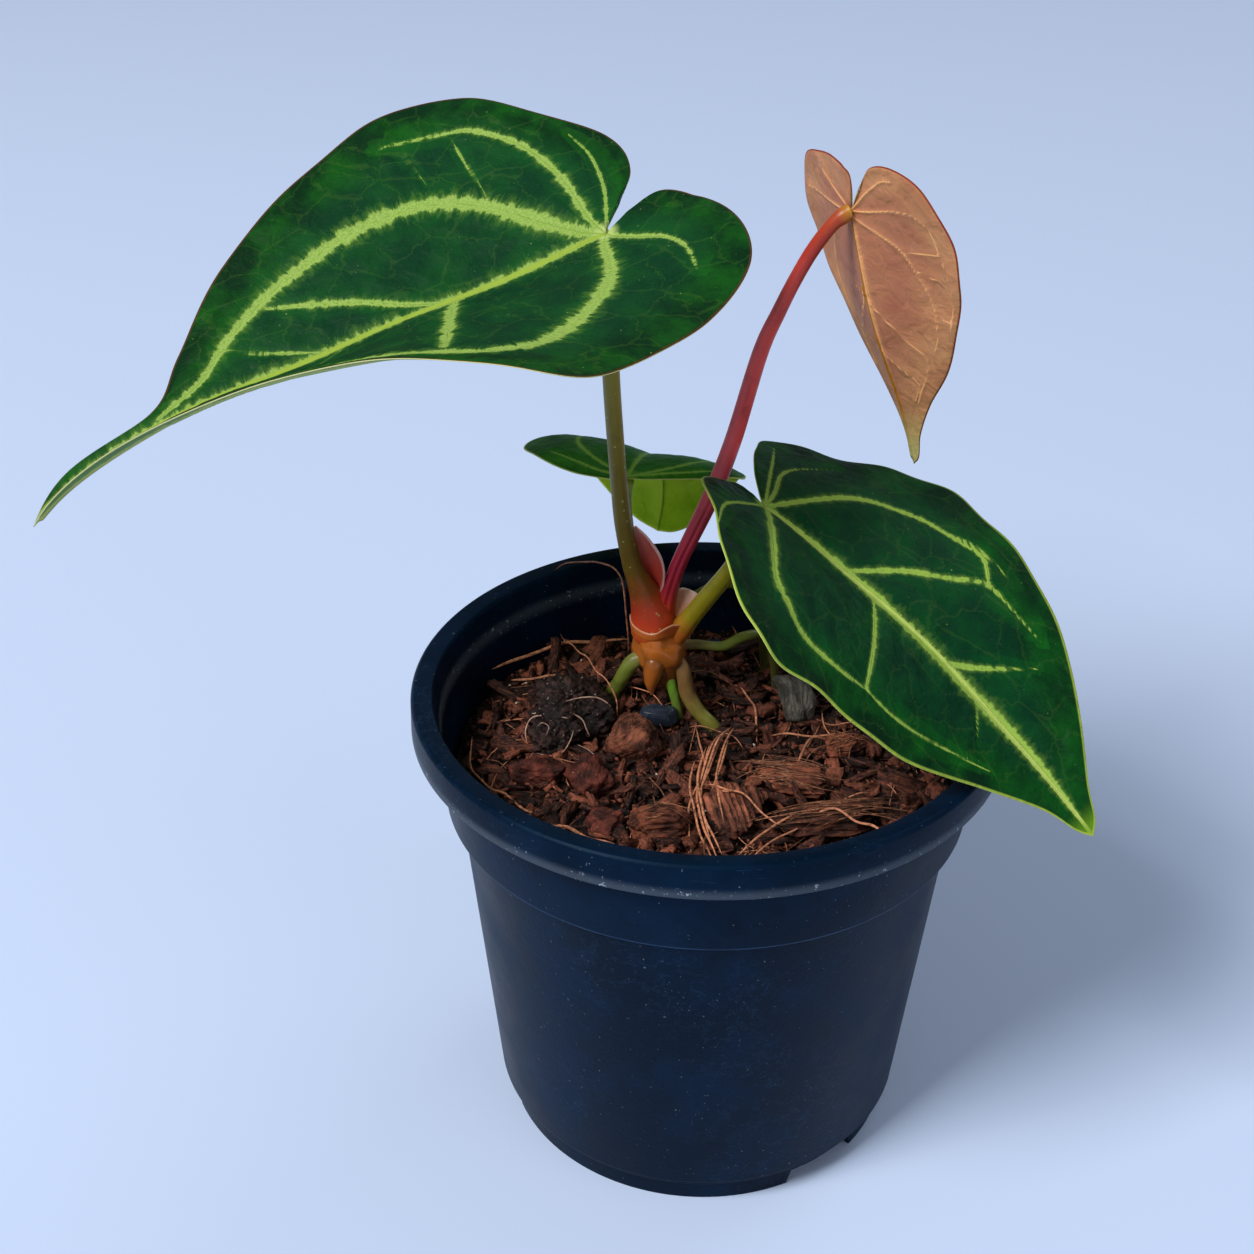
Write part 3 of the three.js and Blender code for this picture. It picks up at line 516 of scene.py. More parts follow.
def husk_chips(count, seed, smallest, largest, width, sink):
    """Husk chips whose lengths run from smallest to largest, small ones the more often: a box
    grid stretched to each chip's size, with its width a share of its length in the given range,
    bent along its length, narrowed to one end, frayed by noise, turned at random and laid on
    the mix, sunk by the given depth and deeper round the roots. Its own coordinates are kept
    as a layer, which the finish draws the fibres along."""
    cup, sweep, taper, skew, fray = 0.035, 0.03, 0.6, 0.35, 0.2
    apart = 400
    rng = np.random.default_rng(seed)
    box, faces = box_grid()
    length = smallest + (largest - smallest) * rng.random(count) ** 2.2
    size = np.stack([length, length * rng.uniform(*width, count),
                     length ** 0.8 * rng.uniform(0.14, 0.36, count)], -1) / 2
    size[:, 2] = np.minimum(size[:, 2], size[:, 1])
    local = box[None] * size[:, None]
    local[..., 2] += rng.normal(0, cup, count)[:, None] * local[..., 0] ** 2
    local[..., 1] += rng.normal(0, sweep, count)[:, None] * local[..., 0] ** 2
    local[..., 1] *= 1 + rng.uniform(-taper, taper, count)[:, None] * box[None, :, 0]
    local[..., 0] += rng.normal(0, skew, count)[:, None] * local[..., 1]
    noise_place = local + rng.uniform(0, apart, (count, 1, 3))
    rough = np.stack([ripples(noise_place, seed + k, 3.2, 2) for k in range(3)], -1)
    local += fray * (size[:, 1] * length)[:, None, None] ** 0.4 * rough * np.array([1.4, 0.7, 0.6])
    grain = local + rng.uniform(0, apart, (count, 1, 3))
    local = np.einsum("nij,nkj->nki", random_turns(rng, count, 44), local)
    x, y = strewn_places(rng, count, 67 - largest / 3)
    by_roots = np.exp(-((x + 11) / 20) ** 2 - ((y - 17) / 12) ** 2)
    z = mix_height(x, y) + size[:, 1] * rng.uniform(-0.9, 0.5, count) - sink - 2.6 * by_roots
    points, joined = scatter(local + np.stack([x, y, z], -1)[:, None], faces)
    tone = (rng.random(count) ** 2.5).repeat(len(box))
    return points, joined, {"tone": tone, "local": grain.reshape(-1, 3)}


def crumbs(count, seed):
    """Fine crumbs: small eight-sided grains, squashed and turned at random."""
    rng = np.random.default_rng(seed)
    corners = np.array([(1, 0, 0), (-1, 0, 0), (0, 1, 0), (0, -1, 0), (0, 0, 1), (0, 0, -1)], float)
    faces = np.array([(0, 2, 4), (2, 1, 4), (1, 3, 4), (3, 0, 4),
                      (2, 0, 5), (1, 2, 5), (3, 1, 5), (0, 3, 5)])
    size = rng.uniform(0.3, 1.15, (count, 1, 1)) * rng.uniform(0.4, 1.4, (count, 1, 3))
    local = corners[None] * size * rng.uniform(0.7, 1.2, (count, len(corners), 1))
    local = np.einsum("nij,nkj->nki", random_turns(rng, count, 120), local)
    x, y = strewn_places(rng, count)
    z = mix_height(x, y) + rng.uniform(-2.0, 0.2, count)
    points, joined = scatter(local + np.stack([x, y, z], -1)[:, None], faces)
    return points, joined, (0.8 * rng.random(count) ** 2).repeat(len(corners))


def pale_grains(count, seed):
    """Tiny pale grains, an eighth of them on the dome of the root ball and the rest scattered
    wide: crumbs that are shrunk about their own middles."""
    rng = np.random.default_rng(seed)
    points, faces, _ = crumbs(count, seed)
    grains = points.reshape(count, -1, 3)
    middle = grains.mean(1, keepdims=True)
    grains = middle + rng.uniform(0.25, 0.5, (count, 1, 1)) * (grains - middle)
    _, place, size, *_ = CHUNKS[0]
    few = count // 8
    low = rng.uniform(-0.34, 0.34, (few, 2))
    dome = np.sqrt(1 - 4 * (low ** 2).sum(1))
    on_ball = np.column_stack([low, 0.5 * dome]) * np.array(size) + np.array(place)
    grains[:few] += on_ball[:, None] - middle[:few]
    grains[few:, :, 2] += 1.2
    return grains.reshape(-1, 3), faces, np.ones(len(points))


def fibre_tubes(paths, radii):
    """Thin four-sided tubes along many paths at once, as one list of points and quads: paths
    holds fibres by steps by 3, and the radius thins towards both ends, where a small quad
    closes each tube."""
    steps, sides = paths.shape[1], 4
    along = unit(np.gradient(paths, axis=1))
    up = np.broadcast_to(np.array([0.13, 0.21, 0.97]), along.shape)
    side = unit(np.cross(along, up))
    other = np.cross(along, side)
    angle = np.arange(sides) * 2 * math.pi / sides
    t = np.linspace(-1, 1, steps)
    slim = np.maximum(1 - t ** 6, 0.06)
    reach = radii[:, None, None, None] * slim[None, :, None, None]
    ring = (side[:, :, None] * np.cos(angle)[:, None] + other[:, :, None] * np.sin(angle)[:, None])
    shapes = (paths[:, :, None] + reach * ring).reshape(len(paths), -1, 3)
    return scatter(shapes, np.array(closed_rows(steps, sides)))


def loose_fibres(count, seed):
    """Short coir fibres lying about: each is a flat arc of its own curvature and heading, which
    rises a little off the mix in the middle. Gives paths, radii and tones."""
    steps, edge = 12, 67.6
    rng = np.random.default_rng(seed)
    x, y = strewn_places(rng, count, 62)
    heading = rng.uniform(0, 2 * math.pi, count)
    length = rng.gamma(2.6, 4.2, count).clip(3, 34)
    bend = rng.normal(0, 0.06, count)
    s = np.linspace(-0.5, 0.5, steps)
    run = length[:, None] * s
    angle = heading[:, None] + bend[:, None] * run
    step = length[:, None] / (steps - 1)
    half = steps // 2
    px = x[:, None] + (np.cumsum(np.cos(angle), 1) - half * np.cos(heading)[:, None]) * step
    py = y[:, None] + (np.cumsum(np.sin(angle), 1) - half * np.sin(heading)[:, None]) * step
    keep = edge / np.maximum(np.hypot(px, py), edge)
    px, py = px * keep, py * keep
    rise = rng.uniform(0.0, 0.12, count)[:, None] * length[:, None] * (1 - 4 * s ** 2)
    tilt = rng.normal(0, 0.06, count)[:, None] * run
    pz = mix_height(px, py) - 0.3 + rise + tilt
    return np.stack([px, py, pz], -1), rng.uniform(0.09, 0.24, count), rng.random(count) ** 1.3


# Fibres that the eye picks out, each with its radius, tone and points: x, y and its height over
# the mix
LONG_FIBRES = [
    (0.62, 1.0, [(-63, 33, 2.5), (-54, 40, 2), (-40, 49, 2), (-24, 55, 1.5)]),
    (0.26, 0.9, [(-44.2, 45.7, 6.5), (-36.6, 28.7, 9.5), (-29.4, 13.9, 12), (-25.6, 10.2, 8),
                 (-25, 7.9, 3)]),
    (0.45, 0.7, [(-57, 28, 1), (-49, 29, 1.5), (-41, 30, 1)]),
    (0.4, 0.75, [(-64, -5, 6), (-63, -14, 2), (-53, -24, 1), (-39, -35, 1), (-27, -42, 1.5),
                 (-18, -45, 1)]),
    (0.3, 0.55, [(-56, -27, 1), (-46, -33, 2), (-34, -39, 1.5), (-22, -45, 1)]),
    (0.42, 0.95, [(7, 11, 2), (3, -1, 4), (0, -15, 5), (-2, -28, 2)]),
    (0.42, 1.0, [(4, 9, 1), (0, -9, 4), (-2, -25, 4), (0, -37, 3), (4, -47, 1)]),
    (0.36, 0.9, [(-3, -5, 1), (-4, -21, 4), (-1, -39, 3), (3, -48, 1)]),
    (0.4, 1.0, [(0, -1, 2), (-2, -17, 5), (0, -35, 5), (5, -46, 2)]),
    (0.34, 0.85, [(6, 3, 2), (3, -17, 5), (1, -28, 2)]),
    (0.3, 0.8, [(-3, 9, 1), (-1, -5, 3), (2, -21, 4)]),
    (0.38, 0.95, [(8, 14, 1), (4, -5, 3), (3, -20, 6), (5, -39, 6)]),
    (0.36, 0.9, [(1, 2, 1), (-1, -14, 4), (-4, -30, 3), (-3, -45, 1)]),
    (0.34, 1.0, [(5, 6, 2), (1, -12, 5), (-1, -27, 5), (2, -44, 3)]),
    (0.32, 0.95, [(0, -21, 5), (11, -31, 9), (21, -38, 3)]),
    (0.28, 0.8, [(3, -25, 6), (9, -28, 8), (15, -31, 5)]),
    (0.36, 0.75, [(9, 31, 2), (13, 20, 3), (14, 7, 1)]),
    (0.34, 0.8, [(18, 9, 2), (27, 8, 3), (42, 10, 2)]),
    (0.5, 0.6, [(25, -4, 2), (29, 7, 3), (34, 9, 1)]),
    (0.4, 0.95, [(26, -34, 5), (33, -33, 7), (42, -40, 8), (47, -44, 7)]),
    (0.42, 0.9, [(9, -47, 2), (15, -41, 4), (21, -36, 6), (26, -31, 5)]),
    (0.36, 0.8, [(13, -47, 1), (19, -42, 4), (26, -36, 5)]),
    (0.2, 1.0, [(-23, 22, 3), (-17, 18, 5), (-12, 14, 2)]),
    (0.3, 0.7, [(-7, -23, 2), (-11, -29, 4), (-15, -40, 5)]),
    (0.26, 0.8, [(33, -23, 3), (40, -20, 4), (44, -18, 2)]),
    (0.26, 0.7, [(30, 20, 1), (38, 16, 2), (46, 18, 1)]),
]
# The arching fibre's points, whose heights are over the ground
ARCHING_FIBRE = [(-23, 26, 128), (-23.1, 26, 134), (-23.8, 26.5, 141.6), (-24.4, 27, 148.4),
                 (-25.6, 29, 151.7), (-28.2, 34, 151.7), (-32.6, 41, 149), (-35.9, 47, 145.7),
                 (-43.2, 58, 138.8), (-47, 59.3, 135.4)]


def long_fibres():
    """The fibres that lie across the mix as smooth curves, with the arching one that stands up
    beside the stem and leans on the rim. Gives paths, radii and tones."""
    t = np.linspace(0, 1, FIBRE_STEPS)
    paths = []
    for _, _, points in LONG_FIBRES:
        x, y, lift = spline(points, t).T
        paths.append(np.stack([x, y, mix_height(x, y) + lift], -1))
    paths.append(spline(ARCHING_FIBRE, t))
    radii = [radius for radius, _, _ in LONG_FIBRES] + [0.3]
    tones = [tone for _, tone, _ in LONG_FIBRES] + [0.6]
    return np.array(paths), np.array(radii), np.array(tones)


# Pale roots that loop over the root ball, as points over the ground
BALL_ROOTS = [
    [(-39.2, 4.3, 125.6), (-34.9, 5.8, 126), (-30.5, 7.2, 125.2), (-27.2, 7.5, 122.7),
     (-25.3, 7.2, 118.8)],
    [(-49.2, -3.7, 117.2), (-49.8, 0, 118.6), (-48.3, 3.4, 120.4), (-43.5, 1.2, 122.8),
     (-37.5, 0.4, 122.6)],
    [(-36.8, 1.5, 123.6), (-34.2, 0.8, 122), (-33, -0.1, 119.5), (-32.1, -0.2, 117.3)],
    [(-46.2, -6.6, 115.5), (-42.1, -7.3, 115.3), (-39, -6.5, 116.3), (-37.1, -4.5, 118.8),
     (-36.4, -1.8, 120.5)],
    [(-35.3, -3.7, 116.9), (-31.8, -6, 116.6), (-28.3, -9, 115)],
    [(-46.5, -2.2, 121.2), (-45.1, -1.3, 122), (-43.1, -3, 121.9), (-43.7, -5.1, 120.6)],
]


def ball_roots():
    """The pale roots as smooth curves over the root ball. Gives paths, radii and tones."""
    paths = np.array([spline(root, np.linspace(0, 1, FIBRE_STEPS)) for root in BALL_ROOTS])
    return paths, np.linspace(0.24, 0.14, len(paths)), np.linspace(1, 0.5, len(paths))


def strand_paths(seed):
    """Fine fibres that cling to the frayed chunks: short lines roughly along each chunk's
    length, spread over its width and bulging over its top. Gives paths, radii and tones."""
    rng = np.random.default_rng(seed)
    s = np.linspace(-0.5, 0.5, 20)
    paths = []
    for name, place, size, heading, tilt, _, _ in CHUNKS:
        for _ in range(STRANDS.get(name, 0)):
            lane = rng.uniform(-0.46, 0.46)
            length = size[0] * rng.uniform(0.2, 0.8)
            middle = rng.uniform(-0.4, 0.4) * size[0]
            along = middle + length * s
            across = size[1] * lane + rng.normal(0, 3) * s + rng.normal(0, 4) * s ** 2
            dome = 1 - 1.3 * (along / size[0]) ** 2 - 1.6 * (across / size[1]) ** 2
            up = size[2] * (0.5 * dome + 0.02) + 0.15 + rng.normal(0, 0.5) * s
            local = np.stack([along, across, up], -1)
            paths.append(local @ (turn("Z", heading) @ turn("X", tilt)).T + np.array(place))
    count = len(paths)
    return np.array(paths), rng.uniform(0.06, 0.16, count), 0.4 * rng.random(count)


def coir_finish(name, dark, light, strength=1.0, grained=False):
    """Damp coir: each loose piece's own tone between dark and light, streaked and speckled by
    noise, which follows the piece's own length where it is grained, with near-black spots of
    painted shade in small hollows and a broken surface."""
    finish = Finish(name, Roughness=0.58, Specular_IOR_Level=0.22)
    place = finish.place()
    tone = finish.layer("tone").outputs["Fac"]
    if grained:
        fibres = finish.stretch(finish.layer("local").outputs["Vector"], (0.16, 2, 2))
        streak = finish.noise(fibres, 0.9, 5, 0.7, 0.5)
    else:
        streak = finish.noise(place, 380, 6, 0.7, 0.6)
    share = finish.plus(finish.times(tone, 0.75), finish.ease(streak, 0.35, 0.72, -0.2, 0.4), True)
    base = finish.mix(share, dark, light)
    # Near-black spots that paint the shade in small hollows of the coir
    shaded_pits = finish.ease(finish.noise(place, 900, 3, 0.6), 0.52, 0.36)
    base = finish.mix(finish.times(shaded_pits, 0.6), base, scaled(dark, 0.3))
    relief = finish.bump(streak, 0.8 * strength, 0.0009)
    finish.set(Base_Color=base, Normal=finish.bump(
        finish.noise(place, 1500, 3, 0.6), 0.35 * strength, 0.0003, relief))
    return finish.material


# Chunks that lie on the mix

# Each chunk's name, middle, size, heading and tilt in degrees, roughness and kind. The first
# CAD_CHUNKS of them stand for CAD nodes.
CHUNKS = [
    ("root_ball", (-37.5, 10.5, 117.5), (24, 21, 17), 20, 8, 0.16, "soil"),
    ("husk_chunk_round", (-20.5, -0.5, 117.2), (16, 15, 13), -15, 12, 0.12, "husk"),
    ("husk_chunk_split", (-31, -18.5, 116), (12, 14, 10), 30, 18, 0.12, "husk_red"),
    ("husk_chunk_left", (-45.5, -15, 115.5), (16, 9.5, 7), 10, -8, 0.12, "husk_red"),
    ("husk_chunk_low", (-26, -35, 114.6), (10, 9, 6), -30, 6, 0.12, "husk_red"),
    ("husk_chunk_fibrous", (-11, -36, 115.4), (16, 13, 9), 12, -14, 0.14, "fibrous"),
    ("husk_chip_square", (7.5, -29, 116), (18, 19, 6), -14, 16, 0.08, "tile"),
    ("husk_chip_wedge", (24, -14.5, 116), (23, 12, 6.5), -6, 9, 0.1, "chip"),
    ("husk_chip_long", (33.5, -31.5, 115.6), (33, 11, 7), 13, -7, 0.1, "bark"),
    ("husk_chip_light", (38, 6, 113.4), (13, 8, 4.5), 24, 10, 0.1, "chip"),
    ("striped_chip", (25.5, 24.5, 116), (12, 19, 7), 12, 10, 0.05, "striped"),
    ("pebble_dark", (-13.6, 13.6, 115.9), (11.5, 7.2, 6), -8, 0, 0.04, "pebble"),
    ("pebble_pale", (1.5, 53, 115.2), (4.6, 4, 3.4), 0, 0, 0.04, "pebble"),
    ("root_ball_lobe", (-41.5, 0.5, 116.4), (15.5, 13, 11), 35, 10, 0.14, "soil"),
]
CAD_CHUNKS = 13
CHUNK_ROWS, CHUNK_COLUMNS = 66, 104
FIRST_CHUNK_SEED = 5

# How many loose strands cling to each frayed chunk
STRANDS = {"husk_chip_wedge": 40, "husk_chip_long": 44, "husk_chunk_fibrous": 8,
           "husk_chip_light": 14}

# For each fibrous kind: the heading of its fibres, how slowly the relief changes along them, its
# size across them, its depth, and the height of the broad facets
GRAIN = {"husk": (70, 0.3, 1.3, 0.2, 0.4), "husk_red": (50, 0.3, 1.2, 0.2, 0.7),
         "fibrous": (0, 0.14, 1.4, 0.45, 0.5), "chip": (0, 0.07, 1.2, 0.36, 0.25),
         "tile": (-59, 0.04, 1.2, 0.14, 0.1), "bark": (0, 0.12, 1.6, 0.5, 0.3)}

# For each kind: the slot, its dark, light and speck colours, its roughness and how plain its
# specks are. The dark colour also paints shade in the grooves and the light one paints light on
# the ridges
CHUNK_SKINS = {
    "soil": ("rooted_soil", (5, 4, 5), (64, 42, 38), (206, 176, 158), 0.46, 0.8),
    "husk": ("husk", (34, 14, 10), (150, 88, 64), (216, 160, 130), 0.66, 0.4),
    "husk_red": ("husk", (26, 9, 8), (120, 58, 44), (206, 140, 116), 0.6, 0.4),
    "fibrous": ("husk", (26, 12, 9), (138, 76, 54), (206, 146, 108), 0.7, 0.4),
    "chip": ("husk", (36, 16, 12), (170, 96, 68), (214, 150, 112), 0.66, 0.3),
    "tile": ("husk", (26, 11, 9), (196, 116, 86), (226, 160, 124), 0.6, 0.2),
    "bark": ("husk", (14, 8, 7), (110, 62, 46), (196, 150, 126), 0.7, 0.4),
    "striped": ("striped_chip", (24, 23, 22), (136, 130, 118), (176, 168, 156), 0.5, 0.0),
    "pebble": ("pebble", (16, 21, 30), (60, 70, 86), (150, 156, 164), 0.24, 0.4),
}


def plain_draws(seed, count):
    """The same linear congruential draws that the CAD chunks take their phases from."""
    state = seed
    draws = []
    for _ in range(count):
        state = (state * 1664525 + 1013904223) % 2 ** 32
        draws.append(state / 2 ** 32)
    return np.array(draws)


def broken(local, seed, cuts=11):
    """Cuts a lump with random planes, which leaves flat broken sides: what stands out past a
    plane is pushed back almost onto it."""
    push = 0.94
    rng = np.random.default_rng(seed)
    for way in unit(rng.normal(size=(cuts, 3))):
        height = local @ way
        limit = height.max() * rng.uniform(0.74, 0.9)
        local = local - push * np.maximum(height - limit, 0)[..., None] * way
    return local


def lump(size, rough, seed):
    """A sphere on a grid of latitude and longitude, pushed towards a box, waved as the CAD
    chunk is and stretched to its size: the directions from its middle and its points."""
    pole = 0.012
    u = np.linspace(pole, math.pi - pole, CHUNK_ROWS)[:, None]
    v = np.arange(CHUNK_COLUMNS)[None] * 2 * math.pi / CHUNK_COLUMNS
    point = np.stack([np.sin(u) * np.cos(v), np.sin(u) * np.sin(v), np.cos(u) + 0 * v], -1)
    x, y, z = np.moveaxis(point, -1, 0)
    phase = 2 * math.pi * plain_draws(seed, 6)
    wave = (np.sin(3.1 * x + phase[0]) * np.cos(2.7 * y + phase[1])
            + np.sin(4.3 * z + phase[2]) * np.cos(3.7 * x + phase[3])
            + np.sin(5.9 * y + phase[4]) * np.cos(5.3 * z + phase[5]))
    boxy = 1 / np.abs(point).max(-1)
    swell = 0.55 + 0.4 * boxy ** 0.8 + 0.6 * rough * wave
    return point, point * swell[..., None] * np.array(size) / 2


def fibrous_relief(local, kind, seed):
    """Coordinates turned along the fibres and the height of a fibrous chunk's relief: noise
    drawn out along the fibres, with deep grooves and broad facets, and on a tile lanes of
    their own height with cracks between them."""
    grain_heading, stretch, spacing, depth, facets = GRAIN[kind]
    aligned = local @ turn("Z", grain_heading)
    grain = aligned * np.array([stretch, 1, 1])
    relief = depth * ripples(grain, seed, spacing, 3)
    relief -= 1.1 * depth * step_up(0.45, 0.95, ripples(grain, seed + 9, 2.6 * spacing, 2))
    relief += facets * ripples(local, seed + 40, 7, 2)
    if kind == "tile":
        lane_width = 1.8
        lane = (aligned[..., 1] + 0.5 * ripples(grain, seed + 3, 8, 2)) / lane_width
        crack = np.abs(lane - np.round(lane)) * lane_width
        relief += 0.3 * np.sin(2.7 * np.round(lane - 0.5)) - 0.9 * np.exp(-(crack / 0.24) ** 2)
    return aligned, relief


def chunk_surface(place, size, heading, tilt, rough, kind, seed):
    """A weathered lump given the relief of its kind: the fibres of husk, the fine ribs and the
    hook of the striped chip, the crumbs of rooted soil, or the flat sides of a pebble. Gives
    points, faces, coordinates along its fibres and the relief's height."""
    point, local = lump(size, rough, seed)
    aligned = local
    if kind in GRAIN:
        local = broken(local, seed)
        aligned, relief = fibrous_relief(local, kind, seed)
    elif kind == "striped":
        aligned = local @ turn("Z", 90)
        turn_round = np.arctan2(point[..., 2], point[..., 0]) + 0.5 * point[..., 1]
        relief = 0.3 * np.abs(np.sin(10 * turn_round)) ** 0.6 - 0.3
        relief -= 0.5 * np.exp(-((local[..., 0] - 0.05 * local[..., 1] ** 2 + 1) / 0.8) ** 2)
        hook = 0.02 * local[..., 1:2] ** 2 + 0.05 * np.maximum(local[..., 1:2] - 3, 0) ** 2
        local = local * np.array([0.85, 1, 1]) - hook * np.array([1, 0, 0])
    elif kind == "soil":
        relief = 1.2 * np.abs(ripples(local, seed, 6, 3)) + 0.8 * np.abs(
            ripples(local, seed + 4, 2.2, 3)) - 1
    else:
        local = broken(local, seed, 8)
        relief = 0.04 * ripples(local, seed, 4, 2)
    local = local + unit(local) * relief[..., None]
    turned = local @ (turn("Z", heading) @ turn("X", tilt)).T
    points = (turned + np.array(place)).reshape(-1, 3)
    faces = flipped(closed_rows(CHUNK_ROWS, CHUNK_COLUMNS))
    return points, faces, aligned.reshape(-1, 3), relief.ravel()


def chunk_finish(kind, dark, light, speck, roughness, specks):
    """A chunk's colour from its relief: painted shade in the grooves and painted light on the
    ridges, streaked along its own fibres, with pale specks."""
    dark, light, speck = srgb(*dark), srgb(*light), srgb(*speck)
    finish = Finish("chunk_" + kind + "_finish", Roughness=roughness, Specular_IOR_Level=0.2)
    local = finish.layer("local").outputs["Vector"]
    depth = finish.layer("relief").outputs["Fac"]
    fibre = finish.noise(finish.stretch(local, (0.2, 2.4, 2.4)), 1.3, 6, 0.7, 0.4)
    # Painted shade in the grooves and painted light on the ridges, taken from the relief's height
    share = finish.plus(finish.ease(depth, -0.5, 0.6, 0, 0.6),
                        finish.ease(fibre, 0.32, 0.7, -0.1, 0.5), True)
    base = finish.mix(share, dark, light)
    cloud = finish.noise(local, 0.16, 4, 0.6)
    base = finish.mix(finish.ease(cloud, 0.42, 0.62, 0, 0.65), base, dark)
    dots = finish.ease(finish.noise(local, 1.5, 2, 0.5), 0.7, 0.73, 0, specks)
    base = finish.mix(dots, base, speck)
    rough = 0.2 if kind == "pebble" else 0.9
    grit = finish.bump(finish.noise(local, 5, 3, 0.6), 0.35 * rough, 0.0003)
    finish.set(Base_Color=base, Normal=finish.bump(fibre, 0.6 * rough, 0.0008, grit))
    return finish.material


# Rhizome, roots, sheaths

RHIZOME = dict(
    path=[(-10.5, 23.5, 118.5), (-11.4, 23.4, 122.5), (-13.3, 23.6, 128.5), (-14.6, 24, 134.5),
          (-15.2, 24.4, 139.5), (-15.8, 24.8, 143), (-16.4, 25.2, 146)],
    radii=[2.4, 4.6, 7, 7.3, 6.5, 4.4, 2.4])
BUD = dict(
    path=[(-14.5, 20.5, 132.5), (-15.4, 17.6, 129.5), (-16, 16.6, 125.5), (-15.9, 16.8, 121)],
    radii=[3.4, 3, 2.1, 0.5])
# Each root's path, radii and skin
ROOTS = {
    "root_left": (
        [(-15.5, 22.5, 131.5), (-21.2, 20.8, 129), (-24.8, 20.3, 123), (-27.9, 20.8, 116),
         (-29.5, 22, 104)], [2, 2.2, 2.1, 2.1, 1.6], "root_green"),
    "root_centre": (
        [(-11.2, 22, 126.5), (-10.6, 18.8, 123.5), (-9, 17.2, 118), (-6.8, 16.2, 106)],
        [1.3, 1.4, 1.4, 1.2], "root_bright"),
    "root_right": (
        [(-10.5, 22, 131), (-7.4, 19.6, 127.5), (-5.9, 17.6, 121), (-2.4, 15.6, 116),
         (2, 13.4, 112), (5, 11.8, 104)], [2, 2.2, 2.1, 2.2, 2.2, 1.7], "root_olive"),
    "root_aerial_low": (
        [(-9.5, 25.5, 132), (-3, 26.4, 131.8), (3.5, 27.2, 131), (9.5, 29.5, 133),
         (14.5, 33, 131.5), (18, 36, 124), (20, 37.5, 106)],
        [1.4, 1.4, 1.4, 1.4, 1.4, 1.3, 1.2], "root_green"),
    "root_aerial_high": (
        [(-11.5, 28.2, 138), (-5, 31.7, 144), (2.5, 34.5, 147), (9, 37, 144.5),
         (14, 39.5, 134), (16, 41.5, 118), (16.5, 42, 106)],
        [1.5, 1.4, 1.4, 1.4, 1.4, 1.3, 1.2], "root_green"),
}
SHEATHS = {
    "sheath_pink": dict(
        spine=[(-17, 26.8, 147), (-16.4, 26.6, 153), (-17.1, 26.2, 160), (-19.2, 25.6, 165.5),
               (-21.4, 25.2, 169.5)],
        widths=[2.2, 3.7, 4, 2.4, 0.35], facing=-100, wrap=85, crimp=0.03),
    "sheath_papery": dict(
        spine=[(-10, 22.4, 137.3), (-9, 23, 140.6), (-7.4, 24.4, 144.2), (-6.1, 25.2, 147.2),
               (-5.2, 25.8, 149.5)],
        widths=[1.6, 3, 4.8, 5.2, 2.8], facing=-112, wrap=88, crimp=0.05),
}
# The collar's middle, its radius, the angles that it runs between, and along it the height of
# its edge and how far that leans out
COLLAR = dict(
    middle=(-15.1, 24.3, 136.6), radius=6.5, start=-188, sweep=174, thickness=0.35,
    crest=[3.4, 2.9, 2.6, 2.4, 2.1, 2.4, 4.2, 4.6, 4, 5.2],
    lean=[0.3, 0.2, 0.1, 0.1, 0.15, 0.5, 0.9, 0.6, 1.2, 1.4])

# Skins of the stem base: colours at shares along the piece, the colour of the mottling, the
# roughness, and what else stem_finish takes
BASE_SKINS = {
    "rhizome_finish": dict(
        stops={0: (86, 48, 22), 0.3: (134, 76, 28), 0.46: (178, 100, 38), 0.64: (204, 114, 46),
               0.84: (206, 92, 42), 1: (202, 76, 40)},
        mottle=(108, 56, 24), roughness=0.22, coat=0.4, mottled=0.42),
    "root_olive": dict(
        stops={0: (138, 98, 66), 0.4: (118, 92, 48), 0.7: (110, 112, 40), 1: (84, 60, 36)},
        mottle=(84, 56, 34), roughness=0.36),
    "root_green": dict(
        stops={0: (156, 132, 92), 0.3: (110, 122, 48), 0.6: (94, 104, 36), 1: (80, 72, 38)},
        mottle=(84, 84, 32), roughness=0.36),
    "root_bright": dict(
        stops={0: (122, 132, 52), 0.4: (92, 132, 32), 1: (110, 110, 60)},
        mottle=(76, 110, 30), roughness=0.3),
    "sheath_pink_finish": dict(
        stops={0: (176, 54, 32), 0.35: (182, 70, 56), 0.75: (196, 112, 102),
               1: (210, 156, 146)},
        mottle=(168, 64, 60), roughness=0.35, edge=(222, 172, 166)),
    "sheath_papery_finish": dict(
        stops={0: (190, 112, 60), 0.5: (206, 146, 112), 1: (222, 190, 172)},
        mottle=(190, 120, 90), roughness=0.4, edge=(228, 204, 190)),
    "collar_finish": dict(
        stops={0: (206, 120, 42), 0.8: (206, 104, 46), 1: (224, 160, 120)},
        mottle=(180, 96, 40), roughness=0.3, coat=0.2),
}


def rhizome_shape(share, angle):
    """Rings of old leaf scars along the lower stem and soft knobs; the top is smooth."""
    lower = step_up(0.72, 0.56, share)
    scar = np.sin(2 * math.pi * (3.2 * share + 0.16 * np.cos(angle + 0.6)))
    knobs = (0.07 * np.sin(3 * angle + 9 * share) * np.sin(11 * share + angle)
             + 0.035 * np.sin(5 * angle - 14 * share) + 0.02 * np.sin(9 * angle + 31 * share))
    return 1 + lower * (0.045 * np.sign(scar) * np.abs(scar) ** 0.5 + knobs)


def root_shape(share, angle):
    """A root that swells and narrows a little: two slow waves along and round it."""
    return 1 + 0.04 * np.sin(13 * share + 2 * angle) + 0.02 * np.sin(37 * share - 3 * angle)


